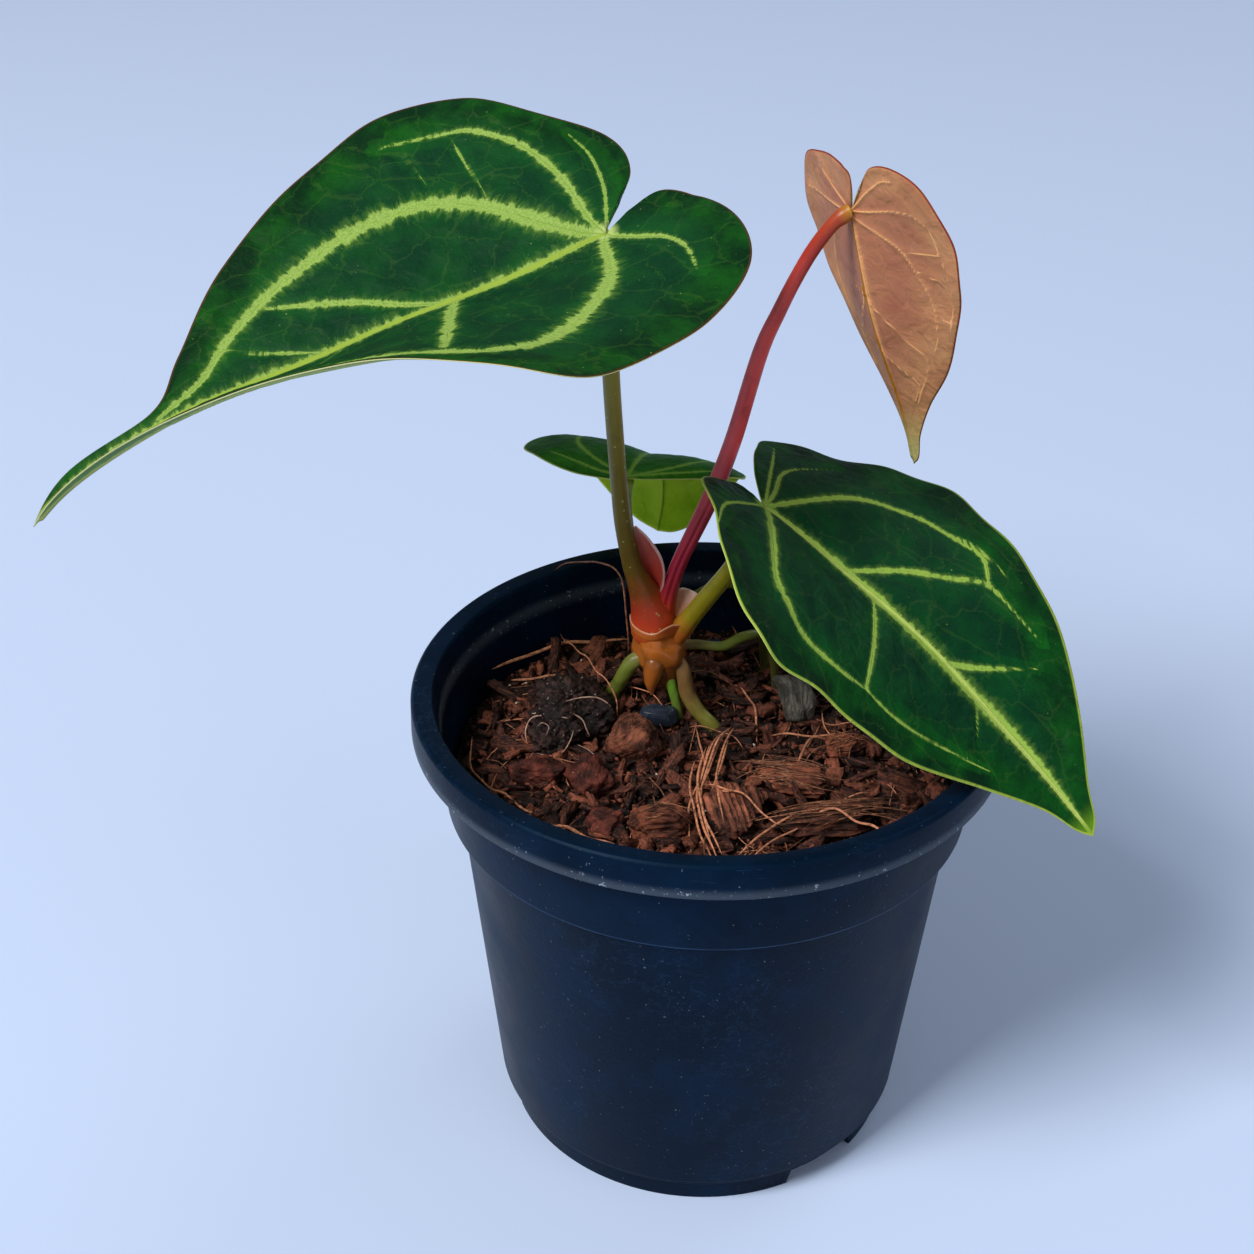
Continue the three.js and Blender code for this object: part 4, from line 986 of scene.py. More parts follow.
def sheath_surface(spine, widths, facing, wrap, crimp, rows=60, columns=41, thickness=0.5):
    """A thin shell round the stem: at each share along the spine an arc of the wrap angle,
    whose radius gives the half width, opening towards the facing direction; both faces lie half
    the thickness off the arc and the edges close in between."""
    t = np.linspace(0, 1, rows)
    centre = spline(spine, t)
    along = unit(np.gradient(centre, axis=0))
    face = np.array([math.cos(math.radians(facing)), math.sin(math.radians(facing)), 0])
    inward = unit(face - along * (along @ face)[:, None])
    sideways = np.cross(along, inward)
    slimmest = 0.2
    half = np.maximum(levels(widths, t), slimmest)
    across = np.linspace(-1, 1, columns)
    angle, edge = across * math.radians(wrap), np.abs(across)
    radius = half / math.sin(math.radians(min(wrap, 90)))
    frill = 1 + crimp * np.sin(15 * t + 2)[:, None] * edge ** 3

    def face_at(offset):
        """The arc at each share along, with its radius changed by the offset."""
        reach = (radius[:, None] * frill + offset)[..., None]
        return (centre + inward * radius[:, None])[:, None] + reach * (
            sideways[:, None] * np.sin(angle)[:, None] - inward[:, None] * np.cos(angle)[:, None])

    outer, inner = face_at(thickness / 2), face_at(-thickness / 2)
    ring = np.concatenate([outer, inner[:, ::-1]], 1)
    count = ring.shape[1]
    share = np.repeat(t, count)
    edge = np.tile(np.concatenate([edge, edge[::-1]]), rows)
    return ring.reshape(-1, 3), flipped(closed_rows(rows, count)), share, edge


def stem_finish(name, stops, mottle, roughness, coat=0.0, mottled=0.4, dots=None, edge=None):
    """Living stem skin: colours at given shares along the stem, mottled by noise drawn out
    along it, faintly ridged, with a soft inner glow, and with pale dots or a pale edge where
    asked for."""
    mottle = srgb(*mottle)
    finish = Finish(name, Roughness=roughness, Subsurface_Weight=0.18, Subsurface_Scale=0.002,
                    Coat_Weight=coat, Coat_Roughness=0.2, Specular_IOR_Level=0.32)
    finish.shader.inputs["Subsurface Radius"].default_value = (1.0, 0.5, 0.25)
    place = finish.place()
    ramp = finish.node("ShaderNodeValToRGB", {0: finish.layer("share").outputs["Fac"]})
    elements = ramp.color_ramp.elements
    while len(elements) < len(stops):
        elements.new(0.5)
    for element, (stop, colour) in zip(elements, sorted(stops.items())):
        element.position = stop
        element.color = (*srgb(*colour), 1)
    streaks = finish.noise(finish.stretch(place, (1, 1, 0.22)), 420, 5, 0.65)
    blotch = finish.noise(place, 160, 4, 0.6)
    base = finish.mix(finish.ease(streaks, 0.5, 0.72, 0, mottled), ramp.outputs[0], mottle)
    base = finish.mix(finish.ease(blotch, 0.52, 0.7, 0, mottled), base, mottle)
    if dots is not None:
        spots = finish.ease(finish.cells(place, 420, "F1"), 0.16, 0.1, 0, 0.7)
        base = finish.mix(spots, base, srgb(*dots))
    if edge is not None:
        near_edge = finish.ease(finish.layer("edge").outputs["Fac"], 0.55, 1.0, 0, 0.85)
        base = finish.mix(near_edge, base, srgb(*edge))
    finish.set(Base_Color=base, Normal=finish.bump(streaks, 0.18, 0.0004))
    return finish.material


def collar_points(rows=14, columns=70):
    """The edge of an old sheath round the front of the stem: a thin band that leans outwards,
    low in front and higher to the right, where it runs on into the papery sheath. Gives
    points, faces and the share of the height."""
    height = np.linspace(0, 1, rows)[:, None]
    share = np.linspace(0, 1, columns)
    angle = np.radians(COLLAR["start"] + COLLAR["sweep"] * share)[None]
    crest = levels(COLLAR["crest"], share)[None] + 0.9
    lean = levels(COLLAR["lean"], share)[None]
    radius = COLLAR["radius"] + 0.8 * step_up(0, 0.55, height) + lean * height ** 2
    around = np.stack([np.cos(angle) + 0 * radius, np.sin(angle) + 0 * radius, 0 * radius], -1)
    lift = np.stack([0 * radius, 0 * radius, (crest + 0.8) * height], -1)
    outer = np.array(COLLAR["middle"]) + radius[..., None] * around + lift
    ring = np.concatenate([outer, (outer - COLLAR["thickness"] * around)[:, ::-1]], 1)
    count = ring.shape[1]
    return ring.reshape(-1, 3), closed_rows(rows, count), np.repeat(height[:, 0], count)


# Petioles

# Each petiole's path and radii, its slot, and its skin as in BASE_SKINS
PETIOLES = {
    "petiole_large": dict(
        slot="petiole_olive",
        path=[(-15.5, 24.2, 138), (-16.5, 24.3, 143.5), (-18.4, 24.2, 149), (-20.4, 24.1, 154),
              (-22.1, 24, 158.8), (-24.6, 24, 171.4), (-25.8, 24, 183.8), (-27.1, 23, 202.2),
              (-27.9, 22, 217), (-28.5, 21, 236), (-29, 20, 254)],
        radii=[6.8, 6, 4.4, 3.3, 2.75, 2.4, 2.3, 2.3, 2.3, 2.3, 2.6],
        stops={0: (208, 84, 40), 0.08: (198, 66, 36), 0.16: (176, 60, 34), 0.25: (138, 70, 26),
               0.38: (112, 84, 20), 0.5: (114, 96, 20), 0.8: (126, 114, 28), 1: (146, 142, 44)},
        mottle=(84, 66, 18), dots=(176, 176, 110)),
    "petiole_young": dict(
        slot="petiole_coral",
        path=[(-13.2, 24.4, 142), (-12.2, 24, 148), (-9, 24.2, 159.7), (-1.5, 24.7, 178.4),
              (4.3, 25, 196.4), (10.4, 25, 221.4), (14.7, 24, 233.4), (18.5, 23.4, 242.6),
              (22.4, 22.5, 250.7), (26.8, 21.6, 257.6), (31, 22, 261)],
        radii=[3.4, 2.6, 2.2, 2.4, 2.3, 2.1, 1.9, 1.8, 1.8, 1.8, 1.9],
        stops={0: (204, 76, 40), 0.07: (190, 56, 40), 0.14: (158, 30, 46), 0.2: (172, 34, 60),
               0.4: (212, 74, 74), 0.6: (204, 70, 60), 0.78: (158, 46, 32), 0.93: (158, 60, 26),
               1: (176, 124, 32)},
        mottle=(140, 38, 44), dots=None),
    "petiole_right": dict(
        slot="petiole_yellow",
        path=[(-10.2, 22.9, 136.4), (-7.4, 22, 140.6), (-4.9, 20.9, 144.9), (-1.2, 19, 151.6),
              (5, 14.6, 163.4), (9.6, 7.4, 177), (12.6, -2, 190.7)],
        radii=[3.5, 3.1, 2.7, 2.6, 2.4, 2.2, 2.4],
        stops={0: (206, 112, 44), 0.14: (194, 112, 40), 0.34: (156, 140, 28), 1: (136, 142, 36)},
        mottle=(110, 102, 24), dots=None),
    "petiole_small": dict(
        slot="petiole_green",
        path=[(-16.2, 28.6, 141), (-18.6, 29.6, 147), (-21, 31.8, 154), (-23.2, 35.2, 161.5),
              (-24.4, 39.6, 169), (-24.3, 43, 175.3)],
        radii=[1.6, 1.6, 1.5, 1.4, 1.4, 1.6],
        stops={0: (140, 120, 50), 1: (134, 156, 66)},
        mottle=(96, 104, 44), dots=None),
}


def petiole_shape(share, angle):
    """Round with faint flutes, and a slight thick joint under the blade."""
    flutes = 0.012 * np.cos(7 * angle) * step_up(0.05, 0.2, share)
    joint = 0.14 * np.exp(-((share - 0.955) / 0.03) ** 2)
    return 1 + flutes + joint


def grooved_shape(share, angle):
    """The young petiole, which still has a groove with raised lips down its front near its
    foot: the angle is measured from the back."""
    off = np.abs(angle - math.pi)
    lower = step_up(0.36, 0.24, share)
    groove = -0.16 * np.exp(-(off / 0.16) ** 2) + 0.09 * np.exp(-((off - 0.42) / 0.16) ** 2)
    return petiole_shape(share, angle) + groove * lower


def under_blade(points, leaf, depth=0.9):
    """Flattens the petiole's top onto a plane that lies parallel to the blade under its hub."""
    up = blade_pose(leaf)[:, 2]
    over = np.maximum((points - np.array(leaf["hub"])) @ up + depth, 0)
    return points - over[:, None] * up


# Blades

# Each blade's hub, heading, dip and roll in degrees, and its length and half width. Arch and
# sweep bend the midrib down and aside, and left and right give each half's fold and curl, as a
# start and a growth along it. A wave is its height, its cycles and its phase. Outlines and
# veins are shares of the length and of the half width, and a vein also has the half width of
# its pale band at its start and at its end, in millimetres.
BLADES = {
    "blade_large": dict(
        hub=(-29, 20, 254), heading=197, dip=20, roll=-17, length=161, half_width=65,
        arch=(-4.5, -3, 43), lobe_arch=-7.5, sweep=(1, 1.5, 6.5), twist=(4, 1),
        left=((15.5, 24.5), (-13, 76)), right=((8, 10), (-3, 14.5)), wave=(0.6, 5, 0.4),
        outline_left=[(0, 0), (-0.11, -0.09), (-0.18, 0.18), (-0.17, 0.49), (-0.065, 0.76),
            (0.075, 0.98), (0.18, 1.08), (0.3, 0.88), (0.49, 0.565), (0.68, 0.265), (0.85, 0.093),
            (0.95, 0.035), (1, 0)],
        outline_right=[(0, 0), (-0.015, 0.07), (-0.08, 0.25), (-0.073, 0.48), (0.015, 0.765),
            (0.106, 0.97), (0.214, 1.03), (0.38, 0.89), (0.565, 0.575), (0.677, 0.258),
            (0.75, 0.07), (0.91, 0.05), (1, 0)],
        veins=[
            (2.3, 0.9, [(0, 0), (0.3, 0.01), (0.6, 0.01), (0.8, 0), (0.98, 0)]),
            (2.6, 1.1, [(0, 0), (0.04, -0.07), (0.1, -0.23), (0.16, -0.39), (0.23, -0.49),
                (0.31, -0.51), (0.39, -0.48), (0.46, -0.42), (0.52, -0.36), (0.6, -0.23),
                (0.66, -0.1), (0.74, -0.03)]),
            (1.3, 0.5, [(0, 0), (0.013, -0.1), (0.02, -0.3), (0.032, -0.45), (0.057, -0.61),
                (0.1, -0.74), (0.14, -0.81), (0.22, -0.85), (0.27, -0.86)]),
            (0.9, 0.9, [(0.27, 0), (0.33, -0.07), (0.39, -0.16), (0.46, -0.24), (0.53, -0.31)]),
            (1.8, 1.9, [(0, 0), (0.012, 0.08), (0.02, 0.24), (0.037, 0.38), (0.08, 0.53),
                (0.136, 0.67), (0.19, 0.76), (0.257, 0.76), (0.31, 0.69), (0.42, 0.54),
                (0.54, 0.36), (0.64, 0.18), (0.72, 0.04)]),
            (1.3, 1.5, [(0.25, 0), (0.265, 0.12), (0.28, 0.32), (0.305, 0.64)]),
            (1.1, 0.5, [(0, 0), (-0.01, 0.05), (-0.037, 0.12), (-0.074, 0.2), (-0.093, 0.31),
                (-0.09, 0.46)]),
            (0.5, 0.3, [(0, 0), (-0.01, -0.06), (-0.03, -0.22), (-0.035, -0.42), (-0.02, -0.58)]),
            (0.5, 0.3, [(0.46, 0), (0.52, -0.07), (0.57, -0.13), (0.61, -0.2)]),
            (0.5, 0.3, [(0.42, 0), (0.47, 0.12), (0.51, 0.25), (0.54, 0.35)]),
            (0.4, 0.3, [(0.154, -0.776), (0.148, -0.612), (0.141, -0.406)]),
            (0.4, 0.3, [(0.235, -0.83), (0.23, -0.72), (0.219, -0.595)]),
        ]),
    "blade_young": dict(
        hub=(31, 22, 261), heading=11, dip=76, roll=-19, length=74, half_width=33.5,
        arch=(-7, -7, 19), lobe_arch=-12.5, sweep=(-2, -1, 2.5), twist=(-1.5, -0.5),
        left=((12, 4), (-3, -1)), right=((13.5, 6), (-5, 4)), wave=(0.3, 4, 1.2),
        outline_left=[(0, 0), (-0.136, -0.04), (-0.162, 0.22), (-0.147, 0.507), (-0.106, 0.797),
            (0.005, 0.975), (0.16, 1), (0.357, 0.858), (0.57, 0.586), (0.728, 0.284),
            (0.852, 0.098), (0.95, 0.049), (1, 0)],
        outline_right=[(0, 0), (-0.078, 0.128), (-0.165, 0.268), (-0.178, 0.508), (-0.126, 0.788),
            (0.004, 0.971), (0.16, 1), (0.358, 0.858), (0.58, 0.599), (0.743, 0.3), (0.873, 0.118),
            (0.968, 0.055), (1, 0)],
        veins=[
            (0.9, 0.4, [(0, 0), (0.25, -0.02), (0.53, 0), (0.71, 0.01), (0.97, 0)]),
            (0.42, 0.3, [(0, 0), (0.03, -0.05), (0.076, -0.26), (0.12, -0.43), (0.19, -0.54),
                (0.28, -0.63), (0.37, -0.64), (0.46, -0.59), (0.51, -0.52)]),
            (0.36, 0.25, [(0.3, -0.01), (0.35, -0.05), (0.42, -0.2), (0.48, -0.33), (0.52, -0.42),
                (0.574, -0.42), (0.65, -0.32), (0.74, -0.19)]),
            (0.32, 0.2, [(0.5, 0), (0.54, -0.03), (0.6, -0.15), (0.65, -0.27), (0.73, -0.17)]),
            (0.34, 0.25, [(0, 0), (-0.006, -0.19), (-0.025, -0.44), (-0.024, -0.66), (0.013, -0.79),
                (0.065, -0.82), (0.135, -0.86)]),
            (0.3, 0.25, [(0, 0), (-0.03, -0.08), (-0.076, -0.2), (-0.125, -0.37), (-0.134, -0.48)]),
            (0.42, 0.3, [(0, 0), (0.03, 0.05), (0.076, 0.26), (0.12, 0.43), (0.19, 0.54),
                (0.28, 0.63), (0.37, 0.64), (0.46, 0.59), (0.51, 0.52)]),
            (0.36, 0.25, [(0.28, 0.01), (0.34, 0.05), (0.41, 0.2), (0.47, 0.33), (0.52, 0.42),
                (0.57, 0.42), (0.65, 0.32)]),
            (0.34, 0.25, [(0, 0), (0.015, 0.19), (0.02, 0.45), (0.02, 0.7), (0.03, 0.92)]),
            (0.32, 0.2, [(0, 0), (-0.02, 0.1), (-0.051, 0.28), (-0.09, 0.46)]),
            (0.22, 0.2, [(0.12, -0.43), (0.115, -0.6), (0.105, -0.83)]),
            (0.22, 0.2, [(0.18, -0.53), (0.2, -0.7), (0.21, -0.86)]),
            (0.26, 0.2, [(0.135, -0.86), (0.21, -0.87), (0.31, -0.84), (0.4, -0.76)]),
            (0.22, 0.2, [(0.33, -0.64), (0.36, -0.73), (0.37, -0.8)]),
            (0.24, 0.2, [(0.31, 0), (0.3, 0.2), (0.33, 0.42)]),
            (0.24, 0.2, [(0.52, 0), (0.51, 0.15), (0.53, 0.36)]),
        ]),
    "blade_right": dict(
        hub=(12.6, -2, 190.7), heading=-22, dip=26, roll=-10, length=117, half_width=54.8,
        arch=(24, -5.5, -3.5), lobe_arch=-7, sweep=(-5, -1, 0), twist=(23.5, 23.5),
        left=((8.5, 9), (-14.5, 21.5)), right=((8, -4.5), (-6.5, -8.5)), wave=(0.7, 6, 2.1),
        outline_left=[(0, 0), (-0.03, 0.08), (-0.077, 0.267), (-0.11, 0.52), (-0.1, 0.78),
            (0.076, 0.92), (0.215, 1.03), (0.386, 0.896), (0.598, 0.62), (0.783, 0.327),
            (0.906, 0.137), (0.973, 0.059), (1, 0)],
        outline_right=[(0, 0), (-0.09, -0.03), (-0.137, 0.252), (-0.065, 0.5), (0, 0.777),
            (0.097, 0.963), (0.207, 1.023), (0.35, 0.86), (0.58, 0.62), (0.758, 0.32),
            (0.886, 0.12), (0.967, 0.048), (1, 0)],
        veins=[
            (2.0, 1.3, [(0, 0), (0.23, 0), (0.5, -0.02), (0.74, 0.01), (0.94, 0)]),
            (1.0, 0.6, [(0, 0), (0.015, 0.07), (0.06, 0.27), (0.117, 0.46), (0.18, 0.58),
                (0.257, 0.64), (0.32, 0.65), (0.41, 0.65), (0.443, 0.59), (0.47, 0.5)]),
            (0.8, 0.7, [(0.22, 0), (0.25, 0.08), (0.32, 0.25), (0.4, 0.39), (0.46, 0.5),
                (0.53, 0.49)]),
            (0.7, 0.3, [(0, 0), (-0.005, 0.17), (-0.021, 0.36), (-0.003, 0.51), (0.064, 0.73)]),
            (0.5, 0.3, [(0, 0), (-0.04, 0.3), (-0.086, 0.7)]),
            (1.2, 0.6, [(0, 0), (0.016, -0.07), (0.062, -0.33), (0.12, -0.58), (0.18, -0.67),
                (0.23, -0.71), (0.295, -0.69), (0.36, -0.64), (0.42, -0.57)]),
            (0.45, 0.25, [(0.42, -0.57), (0.49, -0.54), (0.56, -0.47), (0.635, -0.37),
                (0.75, -0.22)]),
            (0.45, 0.8, [(0.3, 0), (0.33, -0.12), (0.37, -0.31), (0.417, -0.56)]),
            (1.0, 0.3, [(0.51, -0.01), (0.567, 0.1), (0.66, 0.33)]),
            (0.5, 0.2, [(0.62, -0.02), (0.65, -0.1), (0.686, -0.19)]),
            (0.6, 0.3, [(0, 0), (-0.03, -0.15), (-0.06, -0.35), (-0.04, -0.6)]),
            (0.4, 0.25, [(0.46, 0.5), (0.5, 0.5), (0.575, 0.465), (0.63, 0.44)]),
            (0.4, 0.25, [(0.32, 0.65), (0.38, 0.69), (0.435, 0.66), (0.51, 0.6)]),
        ]),
    "blade_small": dict(
        hub=(-24.3, 43, 175.3), heading=78, dip=-9, roll=3, length=65, half_width=31.5,
        arch=(80, 40, 0), lobe_arch=0, sweep=(-10, -2, 0), twist=(0, 0), left=((8, 0), (-25, 0)),
        right=((8, 0), (-22, 0)), wave=(0.5, 3, 0),
        outline_left=[(0, 0), (-0.04, 0.1), (-0.05, 0.26), (-0.04, 0.5), (0.03, 0.8), (0.14, 1.04),
            (0.25, 1.14), (0.39, 1.06), (0.56, 0.96), (0.73, 0.82), (0.88, 0.58), (0.97, 0.28),
            (1, 0)],
        outline_right=[(0, 0), (-0.01, 0.1), (0.005, 0.26), (0.045, 0.5), (0.12, 0.76),
            (0.235, 0.93), (0.36, 0.93), (0.5, 0.83), (0.64, 0.71), (0.79, 0.55), (0.91, 0.36),
            (0.98, 0.17), (1, 0)],
        veins=[
            (0.9, 0.5, [(0, 0), (0.3, 0), (0.6, 0), (0.98, 0)]),
            (0.7, 0.4, [(0, 0), (0.05, 0.24), (0.13, 0.46), (0.24, 0.62), (0.4, 0.68), (0.6, 0.62),
                (0.78, 0.44)]),
            (0.7, 0.4, [(0, 0), (0.05, -0.22), (0.13, -0.42), (0.26, -0.56), (0.42, -0.6),
                (0.58, -0.52), (0.75, -0.36)]),
            (0.6, 0.4, [(0, 0), (0, 0.25), (0.04, 0.5), (0.1, 0.78)]),
            (0.6, 0.4, [(0, 0), (0.03, -0.25), (0.08, -0.5), (0.15, -0.7)]),
        ]),
}
# How strongly the rows of a blade crowd at its hub
HUB_CROWDING = 2.5
# Rows and columns of the two mature front blades and of the two smaller ones
LARGE_GRID, SMALL_GRID = (208, 145), (136, 101)


def blade_pose(leaf):
    """The turn that sets a blade: rolled about its midrib, dipped, then turned to its heading."""
    return turn("Z", leaf["heading"]) @ turn("Y", leaf["dip"]) @ turn("X", leaf["roll"])


def blade_angles(leaf, along):
    """Pitch and yaw of the midrib where it is that far along, in radians."""
    x = along / leaf["length"]
    ahead = np.maximum(x, 0)
    p1, p2, p6 = leaf["arch"]
    s1, s2, s6 = leaf["sweep"]
    pitch = p1 * ahead + p2 * ahead ** 2 + p6 * ahead ** 6
    pitch = pitch + leaf["lobe_arch"] * np.minimum(x, 0)
    yaw = s1 * ahead + s2 * ahead ** 2 + s6 * ahead ** 6
    return np.radians(pitch), np.radians(yaw)


def midrib_direction(leaf, along):
    """The way that the midrib runs there: ahead, turned by the yaw and dipped by the pitch."""
    pitch, yaw = blade_angles(leaf, along)
    return np.stack([np.cos(pitch) * np.cos(yaw), np.cos(pitch) * np.sin(yaw),
                     -np.sin(pitch)], -1)


def blade_bend(leaf, along, across):
    """Where points of the flat blade go, as in the CAD: the midrib is the running sum of its
    direction, and each half leaves it at its fold angle and curls on an arc, with waves that
    grow towards the margin."""
    length, half_width = leaf["length"], leaf["half_width"]
    stations = np.linspace(-0.45 * length, length, 241)
    direction = midrib_direction(leaf, stations)
    steps = (direction[1:] + direction[:-1]) / 2 * (stations[1] - stations[0])
    rib = np.vstack([np.zeros(3), np.cumsum(steps, 0)])
    rib -= np.array([np.interp(0, stations, rib[:, k]) for k in range(3)])
    centre = np.stack([np.interp(along, stations, rib[:, k]) for k in range(3)], -1)
    x = along / length
    _, yaw = blade_angles(leaf, along)
    forward = midrib_direction(leaf, along)
    left = np.stack([-np.sin(yaw), np.cos(yaw), 0 * yaw], -1)
    up = np.cross(forward, left)
    twist = np.radians(leaf["twist"][0] * x + leaf["twist"][1] * np.sign(x) * x * x)[..., None]
    side = left * np.cos(twist) + up * np.sin(twist)
    top = up * np.cos(twist) - left * np.sin(twist)
    reach_share = np.clip(x, -0.4, 1)

    def half_angle(index):
        """The angle of each point's half: its start, grown with the share along."""
        (one, one_gain), (other, other_gain) = leaf["left"][index], leaf["right"][index]
        return np.radians(np.where(across >= 0, one + one_gain * reach_share,
                                   other + other_gain * reach_share))

    fold, curl = half_angle(0), half_angle(1)
    curl = np.where(np.abs(curl) < 1e-4, 1e-4, curl)
    turned = fold + curl * np.abs(across) / half_width
    reach = half_width / curl * (np.sin(turned) - np.sin(fold))
    lift = half_width / curl * (np.cos(fold) - np.cos(turned))
    amplitude, cycles, phase = leaf["wave"]
    ripple = np.minimum(np.abs(across) / half_width, 1) ** 3
    wave = amplitude * ripple * np.sin(2 * math.pi * cycles * x + phase + np.sign(across))
    return (centre + side * (np.sign(across) * reach)[..., None]
            + top * (lift + wave)[..., None])


def vein_field(leaf, flat):
    """For each point of the flat blade, in millimetres: its distance from the nearest vein,
    less where that vein is stronger; how far along that vein it is; and the half width of the
    pale band there, which runs from the vein's first to its last value and swells midway."""
    samples, apart = 70, 50
    scale = np.array([leaf["length"], leaf["half_width"]])
    rows = np.arange(len(flat))
    best = np.full(len(flat), 1e9)
    field = np.zeros((len(flat), 3))
    for index, (first, last, points) in enumerate(leaf["veins"]):
        line = spline(np.array(points) * scale, np.linspace(0, 1, samples))
        a, b = line[:-1], line[1:]
        edge = b - a
        square = (edge ** 2).sum(1)
        share = np.clip(((flat[:, None] - a) * edge).sum(-1) / square, 0, 1)
        distance = np.linalg.norm(a + share[..., None] * edge - flat[:, None], axis=-1)
        nearest = distance.argmin(1)
        near = distance[rows, nearest]
        place = (nearest + share[rows, nearest]) / (samples - 1)
        run = place * np.sqrt(square).sum()
        swell = 0.5 + 0.7 * np.sin(math.pi * np.clip(place, 0.02, 0.98)) ** 0.6
        width = (first + (last - first) * place) * swell
        closer = near / width < best
        best = np.where(closer, near / width, best)
        found = np.stack([near, run + apart * index, width], -1)
        field = np.where(closer[:, None], found, field)
    return field


def blade_surface(leaf, rows, columns, thickness, relief):
    """A thin closed blade. Rows run from the hub to the tip, crowded at the hub, and columns
    from one margin to the other. The upper face sinks along the veins and puffs up between
    them, the lower face carries the veins as ribs, and the two meet in a thin rounded margin.
    Gives points, faces, the finish of each face, and the layers that the finish reads."""
    length, half_width = leaf["length"], leaf["half_width"]
    t = (1 - np.cos(np.linspace(0.02, 1, rows) * math.pi)) / 2
    t = 0.35 * t + 0.65 * np.linspace(0.004, 0.9995, rows)
    v = np.linspace(-1, 1, columns)
    v = 0.72 * v + 0.28 * v ** 3
    rib = length * t ** HUB_CROWDING
    left = spline(leaf["outline_left"], t) * [length, half_width]
    right = spline(leaf["outline_right"], t) * [length, half_width]
    share = np.abs(v)[None]
    edge_a = np.where(v[None] >= 0, left[:, :1], right[:, :1])
    edge_b = np.where(v[None] >= 0, left[:, 1:], right[:, 1:])
    along = rib[:, None] * (1 - share) + edge_a * share
    across = np.sign(v)[None] * share * edge_b
    flat = np.stack([along, across], -1)
    middle = blade_bend(leaf, along, across)
    normal = unit(np.cross(np.gradient(middle, axis=0), np.gradient(middle, axis=1)))
    margin = (1 - share) * np.hypot(edge_a - rib[:, None], edge_b)
    field = vein_field(leaf, flat.reshape(-1, 2)).reshape(rows, columns, 3)
    near, width = field[..., 0], field[..., 2]
    line = np.exp(-(near / (0.35 + 0.3 * width)) ** 2)
    fade = step_up(0, 5, margin)
    puff = (1 - np.exp(-(near / 3.2) ** 2)) * (0.5 + 0.5 * ripples(flat, 21, 9, 2))
    sway = 0.7 * ripples(flat, 8, 46, 1) * fade
    half = thickness / 2 * (0.35 + 0.65 * step_up(0, 1.2, margin))
    upper = half + sway + relief * fade * (0.4 * puff - 0.26 * line)
    lower = sway - half + relief * (0.3 * puff * fade - 0.75 * line * step_up(0, 2, margin))
    top, bottom = middle + normal * upper[..., None], middle + normal * lower[..., None]
    points = np.vstack([top.reshape(-1, 3), bottom.reshape(-1, 3)]) @ blade_pose(leaf).T
    quads = grid_faces(rows, columns)
    count = rows * columns
    numbers = np.arange(count).reshape(rows, columns)
    border = np.concatenate([
        numbers[0], numbers[1:, -1], numbers[-1, -2::-1], numbers[-2:0:-1, 0]])
    following = np.roll(border, -1)
    rim = np.stack([following + count, border + count, border, following], -1)
    faces = np.vstack([quads[:, ::-1], quads + count, rim])
    indices = np.concatenate([np.zeros(len(quads)), np.ones(len(quads) + len(rim))])
    layers = {"vein": field.reshape(-1, 3), "flat": np.dstack([flat, margin]).reshape(-1, 3)}
    layers = {key: np.tile(values, (2, 1)) for key, values in layers.items()}
    return points + np.array(leaf["hub"]), faces, indices, layers


